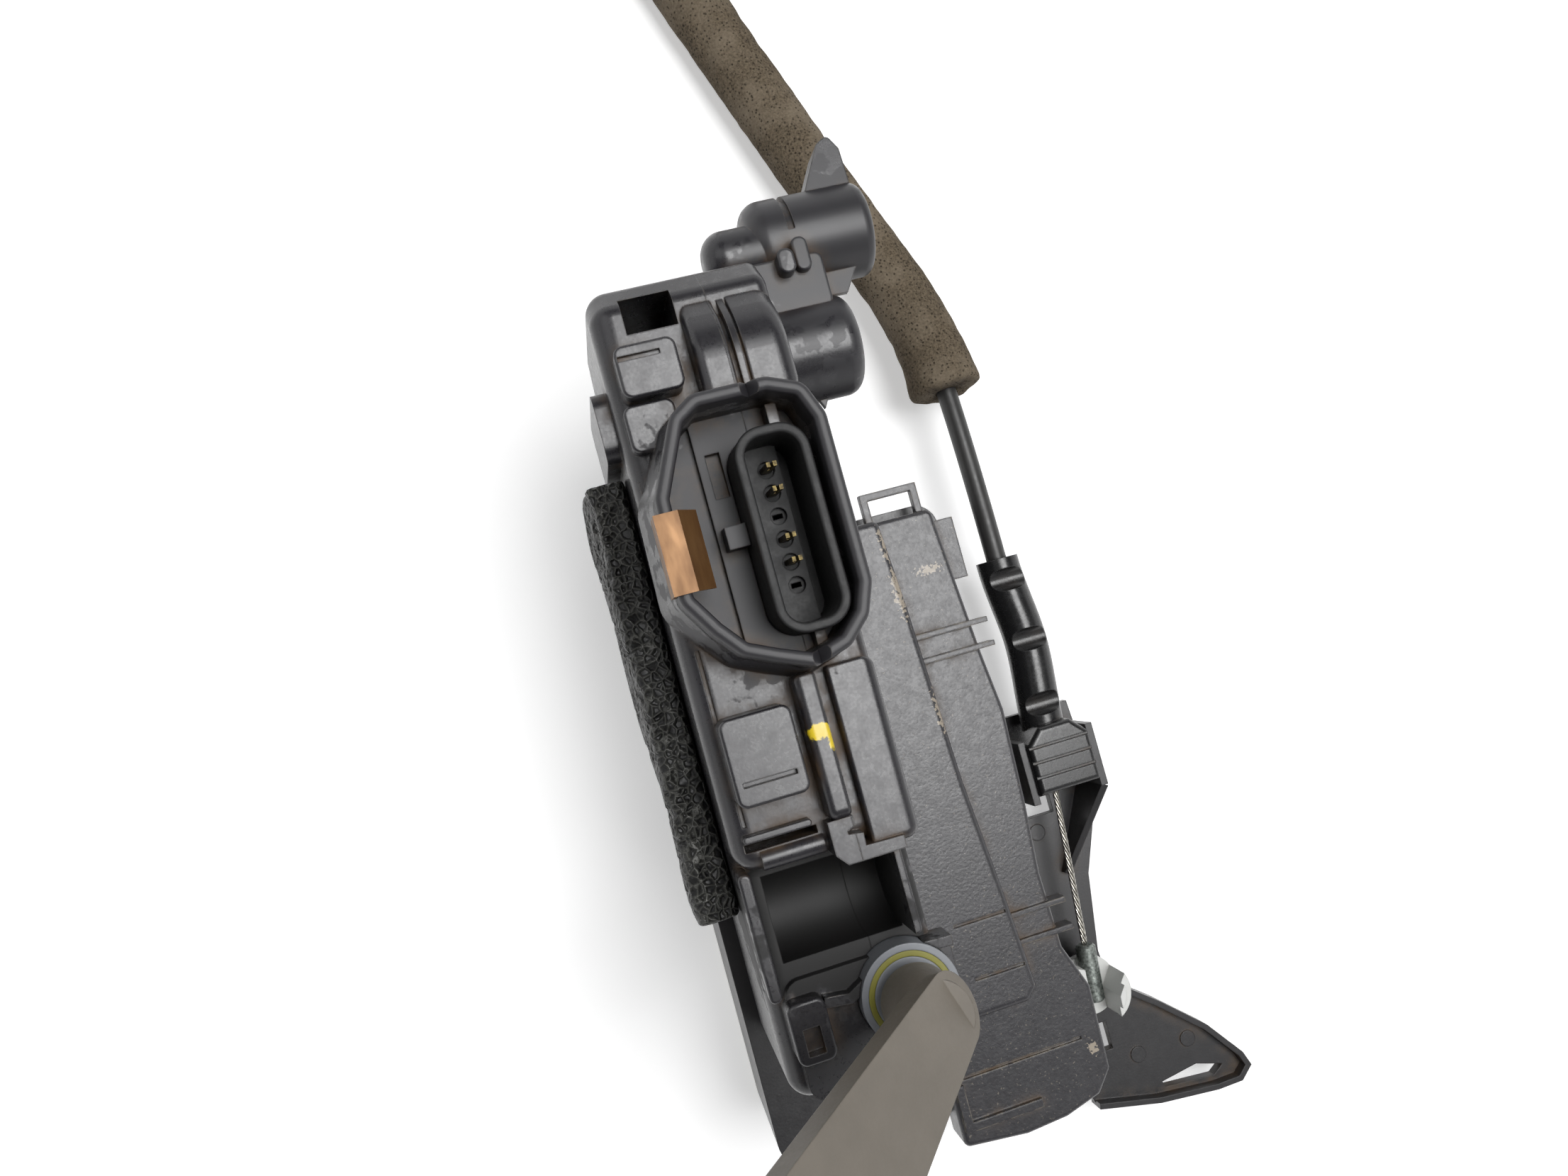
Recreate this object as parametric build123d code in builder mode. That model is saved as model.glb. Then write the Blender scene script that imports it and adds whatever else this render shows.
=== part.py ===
import math
import os

from build123d import *

os.makedirs("parts", exist_ok=True)

# The latch stands on its steel shut-face plate, which is Z = 0. X = 0 is the parting plane of the
# two actuator shells, Y = 0 is the middle of the plug, and +Z points out of the plug.

# Fits and walls
TOUCH = 0.1            # gap of seated pieces
CLEAR = 0.4            # gap of pieces that pass each other
RUNNING = 0.05         # radial clearance of pins and shafts
WALL = 2.2             # moulded walls

# Latch block
PLATE_T = 2.5
BLOCK_LEFT = -23.0
BLOCK_RIGHT = 45.5
BLOCK_BOTTOM = -122.0
BLOCK_TOP = 4.0
BLOCK_R = 5.0
BLOCK_Z = 34.0         # top of the block, where case and cover stand
CATCH_ROOF_Z = 17.0
LEVER_FLOOR_Z = 20.0
PIN_TOP_Z = 19.0       # top of the two pivot pins, in the block
LEVER_ROOM_LEFT = 15.5

# Striker mouth
MOUTH_Y = -50.0
MOUTH_W = 14.0
MOUTH_END = 18.5
MOUTH_ROOF_Z = 27.0
BUMPER_T = 2.0

# Mounting holes, M6 core diameter, in collars of the plate
HOLE_XY = [(-14.0, -4.0), (36.0, -5.0), (4.0, -97.0)]
HOLE_R = 2.5
COLLAR_R = 5.0
COLLAR_L = 6.0
RIVET_STEP = 1.0       # the pins' feet in the plate are thinner by this

# Catch
FORK_XY = (8.0, -30.0)
FORK_R = 27.0
FORK_BODY_R = 18.5
FORK_NOTCH_W = 12.5
FORK_NOTCH_BOTTOM = 12.6
FORK_NOTCH_DEG = 222.0
FORK_HOOK_DEG = 30.0
FORK_REAR_DEG = 20.0
FORK_HALF_NOTCH_DEG = 13.0
FORK_LOBE_DEG = (287.0, 320.0)
FORK_EDGE_R = 0.8
CATCH_Z = 4.0
CATCH_T = 6.0
FORK_PIN_R = 5.0

# Pawl, drawn as it stands when lifted clear of the catch
PAWL_XY = (35.0, -72.0)
PAWL_R = 7.0
PAWL_KNEE_R = 2.6
PAWL_TIP_R = 2.2
PAWL_TIP_DEG = 337.0   # place of its tip round the catch pivot when it holds
PAWL_KNEE_DEG = 335.0
PAWL_TIP_FROM_FORK = 25.2
PAWL_KNEE_FROM_FORK = 30.2
PAWL_LIFT_DEG = 9.0
PAWL_PIN_R = 4.0

# Pivot springs
SPRING_WIRE = 1.2
SPRING_PITCH = 1.5
SPRING_H = 3.6

# Release lever and the wire that pulls it
WIRE_EXIT = (60.4, -66.0)
CUP_XY = (56.3, -112.8)
WIRE_Z = 19.0
WIRE_R = 0.75
FERRULE_R = 2.3
FERRULE_L = 13.0
FERRULE_BACK = 3.6     # the ferrule's middle lies this far behind the cup's
FERRULE_CHAMFER = 0.5
WIRE_TAIL = 3.0        # length of the wire inside the fitting at rest
PULL = 12.3
LEVER_ARM = 24.0
LEVER_T = 4.6
LEVER_Z = 21.4
LEVER_HUB_R = 7.0
LEVER_PIN_R = 3.0
LEVER_ARM_END_R = 5.0
LEVER_SLOT_L = 24.0
LEVER_SLOT_SHIFT = -1.0
CUP_R = 6.9
CUP_Z = 14.4
CUP_TOP_Z = 24.2
CUP_FLARE_DEG = 17.0
CUP_REACH = 1.3        # half length of the trough, as a share of the cup's radius

# Cable bracket and looped bracket
SHELF_Z = 8.0
SHELF_T = 2.5
SHELF = [(44, -49), (72, -49), (73.4, -70.8), (65.8, -90), (62.9, -108), (63.2, -112.5), (65.6, -117.8),
         (72.6, -123.3), (82.7, -132.4), (89.4, -141.1), (90.5, -144.1), (87.8, -146.5), (81.8, -146.6),
         (67.2, -145), (52.3, -141.6), (44, -118)]
SHELF_RIM = slice(6, 15)
SHELF_RIM_W = 1.3
SHELF_RIM_H = 2.6
SHELF_WINDOW = (56.0, -71.4, 11.0, 4.2)
SMALL_WINDOW = (58.8, -127.6, 2.4, 6.6)
LOOP = [(69.6, -142.2), (78.9, -140.9), (85.3, -143), (82.5, -144.8), (70, -143.6)]
MARK_XY = [(56.2, -77.1), (78.5, -134.5), (65.6, -134.2)]
MARK_R = 1.9
MARK_H = 0.3
EAR_X = (53.4, 70.0)
EAR_T = 1.6
EAR_Y = (-68.0, -53.5)
EAR_Z = 25.0
GUSSET_END = (60.2, -88.0)
GUSSET_END_H = 2.0

# Cable end fitting
FITTING_X = 61.6
FITTING_BOW = 1.5
FITTING_TOP_Y = -12.0
FITTING_R = 4.9
ANCHOR_W = 14.8
ANCHOR_Y = (-66.0, -51.0)
ANCHOR_Z = (10.6, 27.0)
ANCHOR_BEVEL = 3.6
ANCHOR_TOP_R = 1.2
ANCHOR_LINE_Y = [-55.2, -58.6, -62.0]
ANCHOR_LINE_W = 0.6
NOTCH_Y = [-17.0, -31.5, -46.5]
NOTCH_R = 2.6
NOTCH_D = 2.2

# Cable route, from the end fitting past the photograph's edge to the handle end
CORD_R = 2.35
ROUTE = [(61.6, -12.0, 19.0), (61.6, 12.0, 19.0), (61.6, 45.0, 15.0), (51.8, 73.5, 11.6),
         (42.3, 101.0, 9.2), (31.5, 131.0, 8.0), (21.0, 161.0, 7.8), (14.0, 190.5, 7.4),
         (11.0, 219.0, 6.2), (11.8, 244.0, 5.2)]
SLEEVE_R = 7.4
SLEEVE_BORE_R = CORD_R + CLEAR
SLEEVE_RUNS = (1, 6)   # the sleeve begins and ends half way along these runs
HANDLE_FITTING_R = 4.4
HANDLE_FITTING_L = 20.0
HANDLE_CRIMP_L = 3.0
HANDLE_WIRE_L = 18.0
BARREL_R = 2.6
BARREL_L = 7.0

# Back cover
COVER_LEFT = 13.4
COVER_TOP_Y = 2.0
COVER_LOW_Z = 42.0
COVER_HIGH_Z = 48.0
COVER_EDGE = [(COVER_LEFT, COVER_TOP_Y), (42.4, COVER_TOP_Y), (43.6, -14), (44.8, -30), (46.2, -43),
              (45.4, -62), (44.2, -78), (44.6, -94), (48.2, -103.5), (47.6, -121), (44, -125.4),
              (36, -127.6), (27, -128.2), (COVER_LEFT, -126.6)]
COVER_PAD = [(COVER_LEFT, COVER_TOP_Y), (29.1, COVER_TOP_Y), (30.3, -16), (31.9, -54), (34, -78.5),
             (35.4, -98), (33, -100.4), (COVER_LEFT, -100.4)]
COVER_FILLET = 1.4
LOW_EDGE_R = 1.0
RIB_Y = [-23.6, -28.8, -84.4, -90.2]
RIB_W = 1.1
RIB_H = 0.9
RIB_SINK = 3.0         # the ribs run down the cover's side by this
RIB_X = [(31.4, 47.6), (31.6, 47.8), (34.6, 47.6), (34.8, 47.8)]
LEDGE = (45.6, -7.2, 5.2, 13.4, 36.4)          # x, y, width, length, top
CORNER_RIB = [(15.2, -114), (15.2, -122.6), (31.4, -122.6)]
CORNER_RIB_W = 1.8
SCORES = [(29.3, -113, 27.8, COVER_LOW_Z), (27.4, -81.4, 11.2, COVER_HIGH_Z),
          (28.6, -92.7, 10.8, COVER_HIGH_Z)]   # x, y, length, height of the face
SCORE_W = 0.6
SCORE_D = 0.5
FRAME_X = (28.4, 41.0)
FRAME_Y = 8.4
FRAME_ROOT_Y = 1.0
FRAME_BAR = 1.5
FRAME_Z = (38.5, 40.5)

# Actuator case
CASE_LEFT = -20.0
CASE_RIGHT = 11.0
CASE_FOOT_Z = BLOCK_Z
SPINE_Z = 88.0
TAIL_Z = 76.0
TAIL_Y = -94.0
SPINE_END_Y = -51.5
CASE_OUTLINE = [(TAIL_Y, CASE_FOOT_Z), (30, CASE_FOOT_Z), (49, 52), (49, 83), (44.5, SPINE_Z),
                (SPINE_END_Y, SPINE_Z), (SPINE_END_Y, TAIL_Z), (TAIL_Y, TAIL_Z)]
CASE_R = 3.0
SPINE_LEFT_R = 4.0
SPINE_RIGHT_R = 2.0
SCREW_YZ = [(-88.0, 42.0), (-42.0, 42.0), (24.0, 42.0), (39.5, 50.5)]
SCREW_R = 1.6
SCREW_HEAD_R = 3.4
SCREW_HEAD_H = 2.2
BOSS_R = 4.2
PIVOT_BOSS_WALL = 2.0
PIVOT_BOSS_H = 3.0

# Plug
RIM_Z = 105.0
RIM_WALL = 2.2
RIM_ROUND = 0.9
SKIRT_Z = 96.5
SKIRT_DEG = 11.0
SHROUD_FLOOR_Z = 91.0
SHROUD_STEP_X = -9.3
SHROUD_STEP_Z = 92.4
SHROUD = [(3, 24.2), (8.6, 22), (10.8, 16.5), (10.8, -10.5), (8.9, -15.5), (5, -19.3), (-1, -21.2),
          (-6.9, -18.8), (-11.8, -16.5), (-15.3, -12.2), (-18.8, -6.5), (-18.4, 9.8), (-13, 21.6),
          (-9, 24.2)]
SHROUD_R = 3.4
SEAM_NOTCH_W = 3.0
SEAM_NOTCH_D = 2.6
SOCKET_XY = (1.3, 0.7)
SOCKET_W = 12.2
SOCKET_L = 33.0
SOCKET_R = 4.8
SOCKET_WALL = 1.6
SOCKET_TOP_Z = 103.0
SOCKET_FLOOR_Z = 88.5
SOCKET_BASE_Z = 84.0
SOCKET_STEP_Z = 91.5
SOCKET_STEP_X = 4.0
SOCKET_ROUND = 0.5
LUG = (-8.4, 1.9, 3.7, 97.0)                   # left, y, length, top
END_POSTS = [(4.0, 1.8, 97.0), (2.3, 1.8, 96.0)]   # x, width, top, at the socket's two ends
SHROUD_POST = 4.0      # length of the two end posts
COLLAR_SLOT = (-6.6, 12.6, 2.4, 7.4)
PIN_PITCH = 3.9
PIN_PLACES = 6
PIN_FILLED = (0, 1, 3, 4)
PIN_FIRST_Y = 11.7
PIN_X = 1.6
PIN_W = 1.7
PIN_D = 0.8
PIN_FORK_W = 0.5
PIN_FORK_L = 4.0
PIN_Z = (80.4, 97.5)
PIN_RECESS_R = 1.4
PIN_RECESS_D = 1.2
CLIP_T = 0.6
CLIP_L = 12.6
CLIP_Y = 1.0
CLIP_SKEW = 0.4        # the shroud's edge runs aslant by this along the clip
CLIP_OUT = 6.5         # height of its outer leg
CLIP_IN = (3.2, 5.0)   # slope and height of its inner leg

# Spine details
DETAIL_R = 1.6
DETAIL_TOP_R = 0.5
SINK = 2.0             # details start this far inside what they stand on
# x, y, width, length, top
SPINE_BLOCKS = [(-12.85, 32.2, 10.3, 8.7, 94.0), (-14.4, 23.4, 8.6, 8.0, 91.0),
                (-11.4, -33.0, 12.0, 14.5, 94.5), (-12.1, -45.7, 11.6, 1.2, 90.6)]
BLOCK_SLOTS = [(-14.0, 34.4, 7.0, 0.8), (-11.4, -36.6, 9.0, 0.8)]
SHOULDER_Z = 94.0
SHOULDER_BEND_Y = 36.0
SHOULDER_END = (46.6, 84.0)
SHOULDER_START_Y = 23.2
SHOULDER_BEND_R = 12.0
# left, right, drop below the full profile, left round, right round
SHOULDER_SLICES = [(-5.2, 0.6, 0.0, 1.6, 0.5), (0.6, 1.5, 1.8, 0.0, 0.0), (1.5, 2.6, 0.2, 0.0, 0.0),
                   (2.6, 3.0, 0.9, 0.0, 0.0), (3.0, CASE_RIGHT, 0.0, 0.3, 3.0)]
RIDGE_Y = (-46.2, -22.0)
# left, right, top, left round, right round
RIDGE_SLICES = [(-3.6, 0.2, 93.6, 1.2, 0.8), (2.6, CASE_RIGHT, 90.6, 0.5, 2.2)]
RIDGE_END_Y = (-46.2, -53.0)
RIM_LINE = (-16.9, -29.0, 0.7, 30.0)
RIM_LINE_D = 0.8
CROSS_BAR_Y = -49.9
CROSS_BAR_R = 1.8
CROSS_BAR_X = (-15.6, -4.8)
HOOK = [(-4.1, -46.4), (0.3, -46.4), (0.3, -48), (-1.2, -48.7), (-1.2, -49.2), (1.3, -49.6), (1.2, -51.7),
        (7.7, -51.9), (7.7, -54), (-2.4, -54), (-4.1, -52)]
HOOK_Z = (84.0, 91.6)
END_RECESS = (-10.0, 42.8, 8.8, 6.4, 62.0)     # x, y, width, length, floor
TROUGH = (-11.6, -47.4, 12.4, 1.4, 80.0)
POCKET = (-4.6, -62.4, 22.0, 15.4, 66.0)
POCKET_WALL = (6.7, -61.4, 2.0, 16.4, 86.0)
LEFT_WALL = (-18.9, -63.0, WALL, 22.0, 84.0)
SIDE_BUMP = (20.8, 33.0, 50.0, 82.0, 2.6)      # y range, z range, thickness
SIDE_BUMP_R = 3.0
TAIL_BLOCK = (-14.4, -80.9, 6.8, 10.6, 82.0)
TAIL_SLOT = (-14.4, -82.4, 3.0, 4.6)
TAIL_SLOT_D = 2.6

# Round bulges, dome, fins, web and snap clip at the upper end of the right shell
BULGE_UP = (57.0, 62.0, 9.0, 14.0, 38.0)       # y, z, radius, left end, right end
BULGE_UP_ROUND = (4.0, 2.0)
BULGE_RING = (22.0, 1.3, 0.7)                  # x, width, depth
BULGE_LOW = (35.0, 65.0, 9.6, 8.0, 29.0)
BULGE_LOW_ROUND = 3.0
DOME = (55.6, 64.6, 5.6, 5.0, 18.0)
DOME_ROUND = 4.4
FIN = [(26.0, 62.0), (28.8, 67.4), (32.2, 73.6), (34.6, 75.0), (36.4, 72.0), (36.8, 58.5)]
FIN_R = 1.0
FIN_Z = (58.0, 66.0)
SMALL_FINS = [[(27.0, 49.0), (34.4, 50.4), (30.6, 44.4), (25.0, 44.6)],
              [(17.4, 30.4), (23.6, 29.6), (20.4, 23.8)]]
SMALL_FIN_Z = (64.6, 66.0)
WEB = (17.0, 46.6, 18.0, 10.4, 60.0, 71.6)
SNAPS = [(18.5, 50.2, 3.2, 4.6, 62.0, 75.0), (21.9, 51.4, 3.0, 6.4, 62.0, 73.5)]

# Outside lever on its shaft
SHAFT_XY = (3.8, -80.4)
SHAFT_R = 4.0
SHAFT_Z = (50.0, 96.0)
BUSH_R = 8.8
BUSH_Z = (70.0, 81.5)
SEAL_R = 7.6
SEAL_W = 1.1
TAIL_PLATE = (-17.0, 13.4, TAIL_Y, -73.0, 74.0, 78.0)
TAIL_PLATE_R = 3.0
PLATE_RIM = [(13.4, -73.9), (7.5, -73.6), (1.1, -73.8), (-3, -76.3), (-6.3, -78), (-10.9, -77.4)]
PLATE_RIM_W = 1.8
PLATE_RIM_Z = 80.4
LEVER_HUB = (6.4, 85.0, 96.5)                  # radius, bottom, top
ARM_END = (-28.5, -91.0, 131.0)
ARM_END_R = 10.5
ARM_T = 4.5
ARM_EYE_R = 3.0
ARM_ROOT_R = 6.2
ARM_SINK = 2.0

# Lock drive inside the case
MOTOR_X = -5.0
MOTOR_Z = 70.0
MOTOR_R = 10.0
MOTOR_FLAT = 15.4
MOTOR_Y = (-5.0, 20.0)
CRADLE_Y = (1.5, 13.5)
CRADLE_T = 2.0
CRADLE_BELOW = 10.5    # the cradles reach this far below the motor's axis
MOTOR_BOSS_R = 3.0
MOTOR_BOSS_L = 2.0
GEAR_MODULE = 1.0
WHEEL_TEETH = 24
WHEEL_FACE = 4.0
WORM_R = 3.0
WORM_TURNS = 5
WORM_SHAFT_R = 1.2
ADDENDUM = 0.8         # tooth height over the pitch line, in modules
DEDENDUM = 1.2
TOOTH_ROOTED = 0.1     # teeth start this far inside the rim, in modules
TOOTH_SHARE = 0.34     # tooth width at the pitch line, as a share of the pitch
FLANK_DEG = 20.0
AXLE_R = 1.5
CRANK_R = 1.5
CRANK_AT = 8.0
CRANK_H = 4.4
LOCK_PIVOT_Y = -49.0
LOCK_LEVER_T = 2.4
LOCK_LEVER_GAP = 1.4
LOCK_LEVER_WALL = 3.0
LOCK_SLOT_L = 14.0
LOCK_TIP = 1.5
LOCK_SLOT_EASE = 0.6
LOCK_PIN_R = 2.0
SWITCH = (-62.0, 60.0, 9.0, 7.0, 4.0)          # y, z, length, height, thickness

# Foam pad on the left face
PAD_Y = (-62.0, 20.0)
PAD_Z = (47.0, 72.0)
PAD_T = 7.5

# Values worked out from the sizes above
WHEEL_PITCH_R = GEAR_MODULE * WHEEL_TEETH / 2
WHEEL_Y = MOTOR_Y[0] - WHEEL_PITCH_R - 2 * GEAR_MODULE
WHEEL_Z = MOTOR_Z - WORM_R - WHEEL_PITCH_R
GEAR_PITCH = math.pi * GEAR_MODULE
FLANK = math.tan(math.radians(FLANK_DEG))
CASE_IN_LEFT = CASE_LEFT + WALL
CASE_IN_RIGHT = CASE_RIGHT - WALL
CUP_MID = Vector(*CUP_XY, WIRE_Z)
WIRE_DIR = (CUP_MID - Vector(*WIRE_EXIT, WIRE_Z)).normalized()
WIRE_SIDE = Vector(0, 0, 1).cross(WIRE_DIR)
LEVER_SWING = 2 * math.degrees(math.asin(PULL / 2 / LEVER_ARM))
LEVER_HALF = math.cos(math.radians(LEVER_SWING / 2))
LEVER_PIVOT = Vector(*CUP_XY) - WIRE_DIR * (PULL / 2) - WIRE_SIDE * (LEVER_ARM * LEVER_HALF)
SHELF_TOP = SHELF_Z + SHELF_T


def polar(centre, radius, degrees):
    """Point at a radius and an angle round a centre."""
    turn = math.radians(degrees)
    return (centre[0] + radius * math.cos(turn), centre[1] + radius * math.sin(turn))


def block_on(x, y, width, length, low, top, mode=Mode.ADD):
    """Box by the middle of its plan and by its two heights."""
    with Locations((x, y, (low + top) / 2)):
        Box(width, length, top - low, mode=mode)


def rounded_block(x, y, width, length, low, top):
    """Block with rounded corners and softened top edges."""
    corner = min(DETAIL_R, 0.45 * width, 0.45 * length)
    soft = min(DETAIL_TOP_R, corner / 2)
    with BuildPart() as block:
        with BuildSketch(Plane.XY.offset(low)):
            with Locations((x, y)):
                RectangleRounded(width, length, corner)
        extrude(amount=top - low)
        fillet(block.faces().sort_by(Axis.Z)[-1].edges(), soft)
    return block.part


def spine_bar(profile, radii, left, right, left_round, right_round):
    """Bar across the spine with a profile of rounded corners and rounded long edges."""
    with BuildPart() as bar:
        with BuildSketch(Plane.YZ.offset(left)):
            with BuildLine() as outline:
                FilletPolyline(*profile, radius=radii)
                Line(outline.line @ 1, outline.line @ 0)
            make_face()
        extrude(amount=right - left)
        for side, amount in ((left, left_round), (right, right_round)):
            if amount:
                along = bar.edges().filter_by(lambda edge: abs(edge.center().X - side) < TOUCH / 2)
                fillet(along.filter_by(lambda edge: edge.center().Z > SPINE_Z), amount)
    return bar.part


def round_bar(y, z, radius, left, right, left_round, right_round):
    """Round bar along X with rounded ends."""
    with BuildPart() as bar:
        with BuildSketch(Plane.YZ.offset(left)):
            with Locations((y, z)):
                Circle(radius)
        extrude(amount=right - left)
        if left_round:
            fillet(bar.edges().filter_by(GeomType.CIRCLE).sort_by(Axis.X)[0], left_round)
        if right_round:
            fillet(bar.edges().filter_by(GeomType.CIRCLE).sort_by(Axis.X)[-1], right_round)
    return bar.part


def wedge(centre, start, stop, radius):
    """Sector of a disc between two angles."""
    first = polar(centre, radius, start)
    middle = polar(centre, radius, (start + stop) / 2)
    last = polar(centre, radius, stop)
    with BuildLine() as rim:
        Line(centre, first)
        ThreePointArc(first, middle, last)
        Line(last, centre)
    make_face(rim.edges())


def write(part, name):
    """Label a finished piece and write it."""
    part.label = name
    export_step(part, f"parts/{name}.step")


# Steel shut-face plate with the striker mouth and three threaded collars
with BuildPart() as striker_plate:
    plate_x = (BLOCK_LEFT + BLOCK_RIGHT) / 2
    plate_y = (BLOCK_BOTTOM + BLOCK_TOP) / 2
    with BuildSketch() as plate_outline:
        with Locations((plate_x, plate_y)):
            RectangleRounded(BLOCK_RIGHT - BLOCK_LEFT, BLOCK_TOP - BLOCK_BOTTOM, BLOCK_R)
    extrude(amount=PLATE_T)
    with BuildSketch():
        with Locations(*HOLE_XY):
            Circle(COLLAR_R)
    extrude(amount=COLLAR_L)
    with BuildSketch() as mouth:
        with Locations((BLOCK_LEFT, MOUTH_Y)):
            Rectangle(MOUTH_END - MOUTH_W / 2 - BLOCK_LEFT, MOUTH_W, align=(Align.MIN, Align.CENTER))
        with Locations((MOUTH_END - MOUTH_W / 2, MOUTH_Y)):
            Circle(MOUTH_W / 2)
    extrude(amount=PLATE_T, mode=Mode.SUBTRACT)
    with BuildSketch():
        with Locations(*HOLE_XY):
            Circle(HOLE_R)
        with Locations(FORK_XY):
            Circle(FORK_PIN_R - RIVET_STEP)
        with Locations(PAWL_XY):
            Circle(PAWL_PIN_R - RIVET_STEP)
    extrude(amount=COLLAR_L, mode=Mode.SUBTRACT)
write(striker_plate.part, "striker_plate")

# Moulded block: catch room open to the plate, lever room open to the cover, and the cable shelf
with BuildPart() as latch_housing:
    with BuildSketch(Plane.XY.offset(PLATE_T)):
        add(plate_outline.sketch_local)
    extrude(amount=BLOCK_Z - PLATE_T)
    with BuildSketch(Plane.XY.offset(SHELF_Z)):
        with BuildLine():
            Polyline(*SHELF, close=True)
        make_face()
        with Locations(SHELF_WINDOW[:2]):
            Rectangle(*SHELF_WINDOW[2:], mode=Mode.SUBTRACT)
        with Locations(SMALL_WINDOW[:2]):
            Rectangle(*SMALL_WINDOW[2:], mode=Mode.SUBTRACT)
        with BuildLine():
            Polyline(*LOOP, close=True)
        make_face(mode=Mode.SUBTRACT)
    extrude(amount=SHELF_T)
    for ear_x in EAR_X:
        block_on(ear_x, sum(EAR_Y) / 2, EAR_T, EAR_Y[1] - EAR_Y[0], SHELF_TOP, EAR_Z)
    gusset_start = Vector(EAR_X[1], EAR_Y[0], SHELF_TOP)
    gusset_run = Vector(*GUSSET_END, SHELF_TOP) - gusset_start
    with BuildSketch(Plane(gusset_start, x_dir=gusset_run, z_dir=gusset_run.cross(Vector(0, 0, 1)))):
        with BuildLine():
            Polyline((0, 0), (gusset_run.length, 0), (gusset_run.length, GUSSET_END_H),
                     (0, EAR_Z - SHELF_TOP), close=True)
        make_face()
    extrude(amount=EAR_T / 2, both=True)
    with BuildSketch(Plane.XY.offset(SHELF_Z)):
        with BuildLine() as rim_line:
            Polyline(*SHELF[SHELF_RIM])
        trace(rim_line.line, SHELF_RIM_W)
    extrude(amount=SHELF_T + SHELF_RIM_H)
    with BuildSketch(Plane.XY.offset(SHELF_Z)):
        with Locations(*MARK_XY):
            Circle(MARK_R)
    extrude(amount=SHELF_T + MARK_H)
    room_x = BLOCK_RIGHT - BLOCK_LEFT - 2 * WALL
    room_y = BLOCK_TOP - BLOCK_BOTTOM - 2 * WALL
    with BuildSketch(Plane.XY.offset(PLATE_T)):
        with Locations((plate_x, plate_y)):
            RectangleRounded(room_x, room_y, BLOCK_R - WALL)
    extrude(amount=CATCH_ROOF_Z - PLATE_T, mode=Mode.SUBTRACT)
    with BuildSketch(Plane.XY.offset(PLATE_T)):
        add(mouth.sketch_local)
    extrude(amount=MOUTH_ROOF_Z - PLATE_T, mode=Mode.SUBTRACT)
    with BuildSketch(Plane.XY.offset(LEVER_FLOOR_Z)):
        room_right = BLOCK_RIGHT - WALL
        with Locations(((LEVER_ROOM_LEFT + room_right) / 2, plate_y)):
            RectangleRounded(room_right - LEVER_ROOM_LEFT, room_y, BLOCK_R - WALL)
    extrude(amount=BLOCK_Z - LEVER_FLOOR_Z, mode=Mode.SUBTRACT)
    with BuildSketch(Plane.YZ.offset(BLOCK_RIGHT - 2 * WALL)):
        with Locations((LEVER_PIVOT.Y + LEVER_SLOT_SHIFT, LEVER_Z + LEVER_T / 2)):
            Rectangle(LEVER_SLOT_L, LEVER_T + 2 * CLEAR)
    extrude(amount=3 * WALL, mode=Mode.SUBTRACT)
    with BuildSketch(Plane.XY.offset(CATCH_ROOF_Z)):
        with Locations(LEVER_PIVOT):
            Circle(LEVER_HUB_R)
    extrude(amount=LEVER_Z - CLEAR - CATCH_ROOF_Z)
    with BuildSketch(Plane.XY.offset(CATCH_ROOF_Z)):
        with Locations(LEVER_PIVOT):
            Circle(LEVER_PIN_R)
    extrude(amount=LEVER_Z - CATCH_ROOF_Z, mode=Mode.SUBTRACT)
    with BuildSketch(Plane.XY.offset(CATCH_ROOF_Z)):
        with Locations(FORK_XY):
            Circle(FORK_PIN_R)
        with Locations(PAWL_XY):
            Circle(PAWL_PIN_R)
    extrude(amount=PIN_TOP_Z - CATCH_ROOF_Z, mode=Mode.SUBTRACT)
write(latch_housing.part, "latch_housing")


def stepped_pin(centre, radius, foot_radius, top):
    """Pivot pin with a thinner riveted foot in the plate."""
    with BuildSketch() as foot:
        with Locations(centre):
            Circle(foot_radius)
    extrude(foot.sketch, amount=PLATE_T)
    with BuildSketch(Plane.XY.offset(PLATE_T)) as shank:
        with Locations(centre):
            Circle(radius)
    extrude(shank.sketch, amount=top - PLATE_T)


with BuildPart() as fork_pin:
    stepped_pin(FORK_XY, FORK_PIN_R, FORK_PIN_R - RIVET_STEP, PIN_TOP_Z)
write(fork_pin.part, "fork_pin")

with BuildPart() as pawl_pin:
    stepped_pin(PAWL_XY, PAWL_PIN_R, PAWL_PIN_R - RIVET_STEP, PIN_TOP_Z)
write(pawl_pin.part, "pawl_pin")

# Rotary catch, open: hook arm, notch, rear arm and the lobe that the pawl holds
with BuildPart() as fork_bolt:
    with BuildSketch(Plane.XY.offset(CATCH_Z)):
        with Locations(FORK_XY):
            Circle(FORK_BODY_R)
        wedge(FORK_XY, FORK_NOTCH_DEG - FORK_HALF_NOTCH_DEG - FORK_HOOK_DEG,
              FORK_NOTCH_DEG + FORK_HALF_NOTCH_DEG + FORK_REAR_DEG, FORK_R)
        wedge(FORK_XY, *FORK_LOBE_DEG, FORK_R)
        notch_mid = polar(FORK_XY, FORK_NOTCH_BOTTOM + FORK_NOTCH_W / 2, FORK_NOTCH_DEG)
        with Locations(notch_mid):
            Circle(FORK_NOTCH_W / 2, mode=Mode.SUBTRACT)
            Rectangle(FORK_R, FORK_NOTCH_W, rotation=FORK_NOTCH_DEG,
                      align=(Align.MIN, Align.CENTER), mode=Mode.SUBTRACT)
        with Locations(FORK_XY):
            Circle(FORK_PIN_R + RUNNING, mode=Mode.SUBTRACT)
    extrude(amount=CATCH_T)
    fillet(fork_bolt.edges().filter_by(Axis.Z).group_by(SortBy.LENGTH)[-1], FORK_EDGE_R)
write(fork_bolt.part, "fork_bolt")

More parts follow.
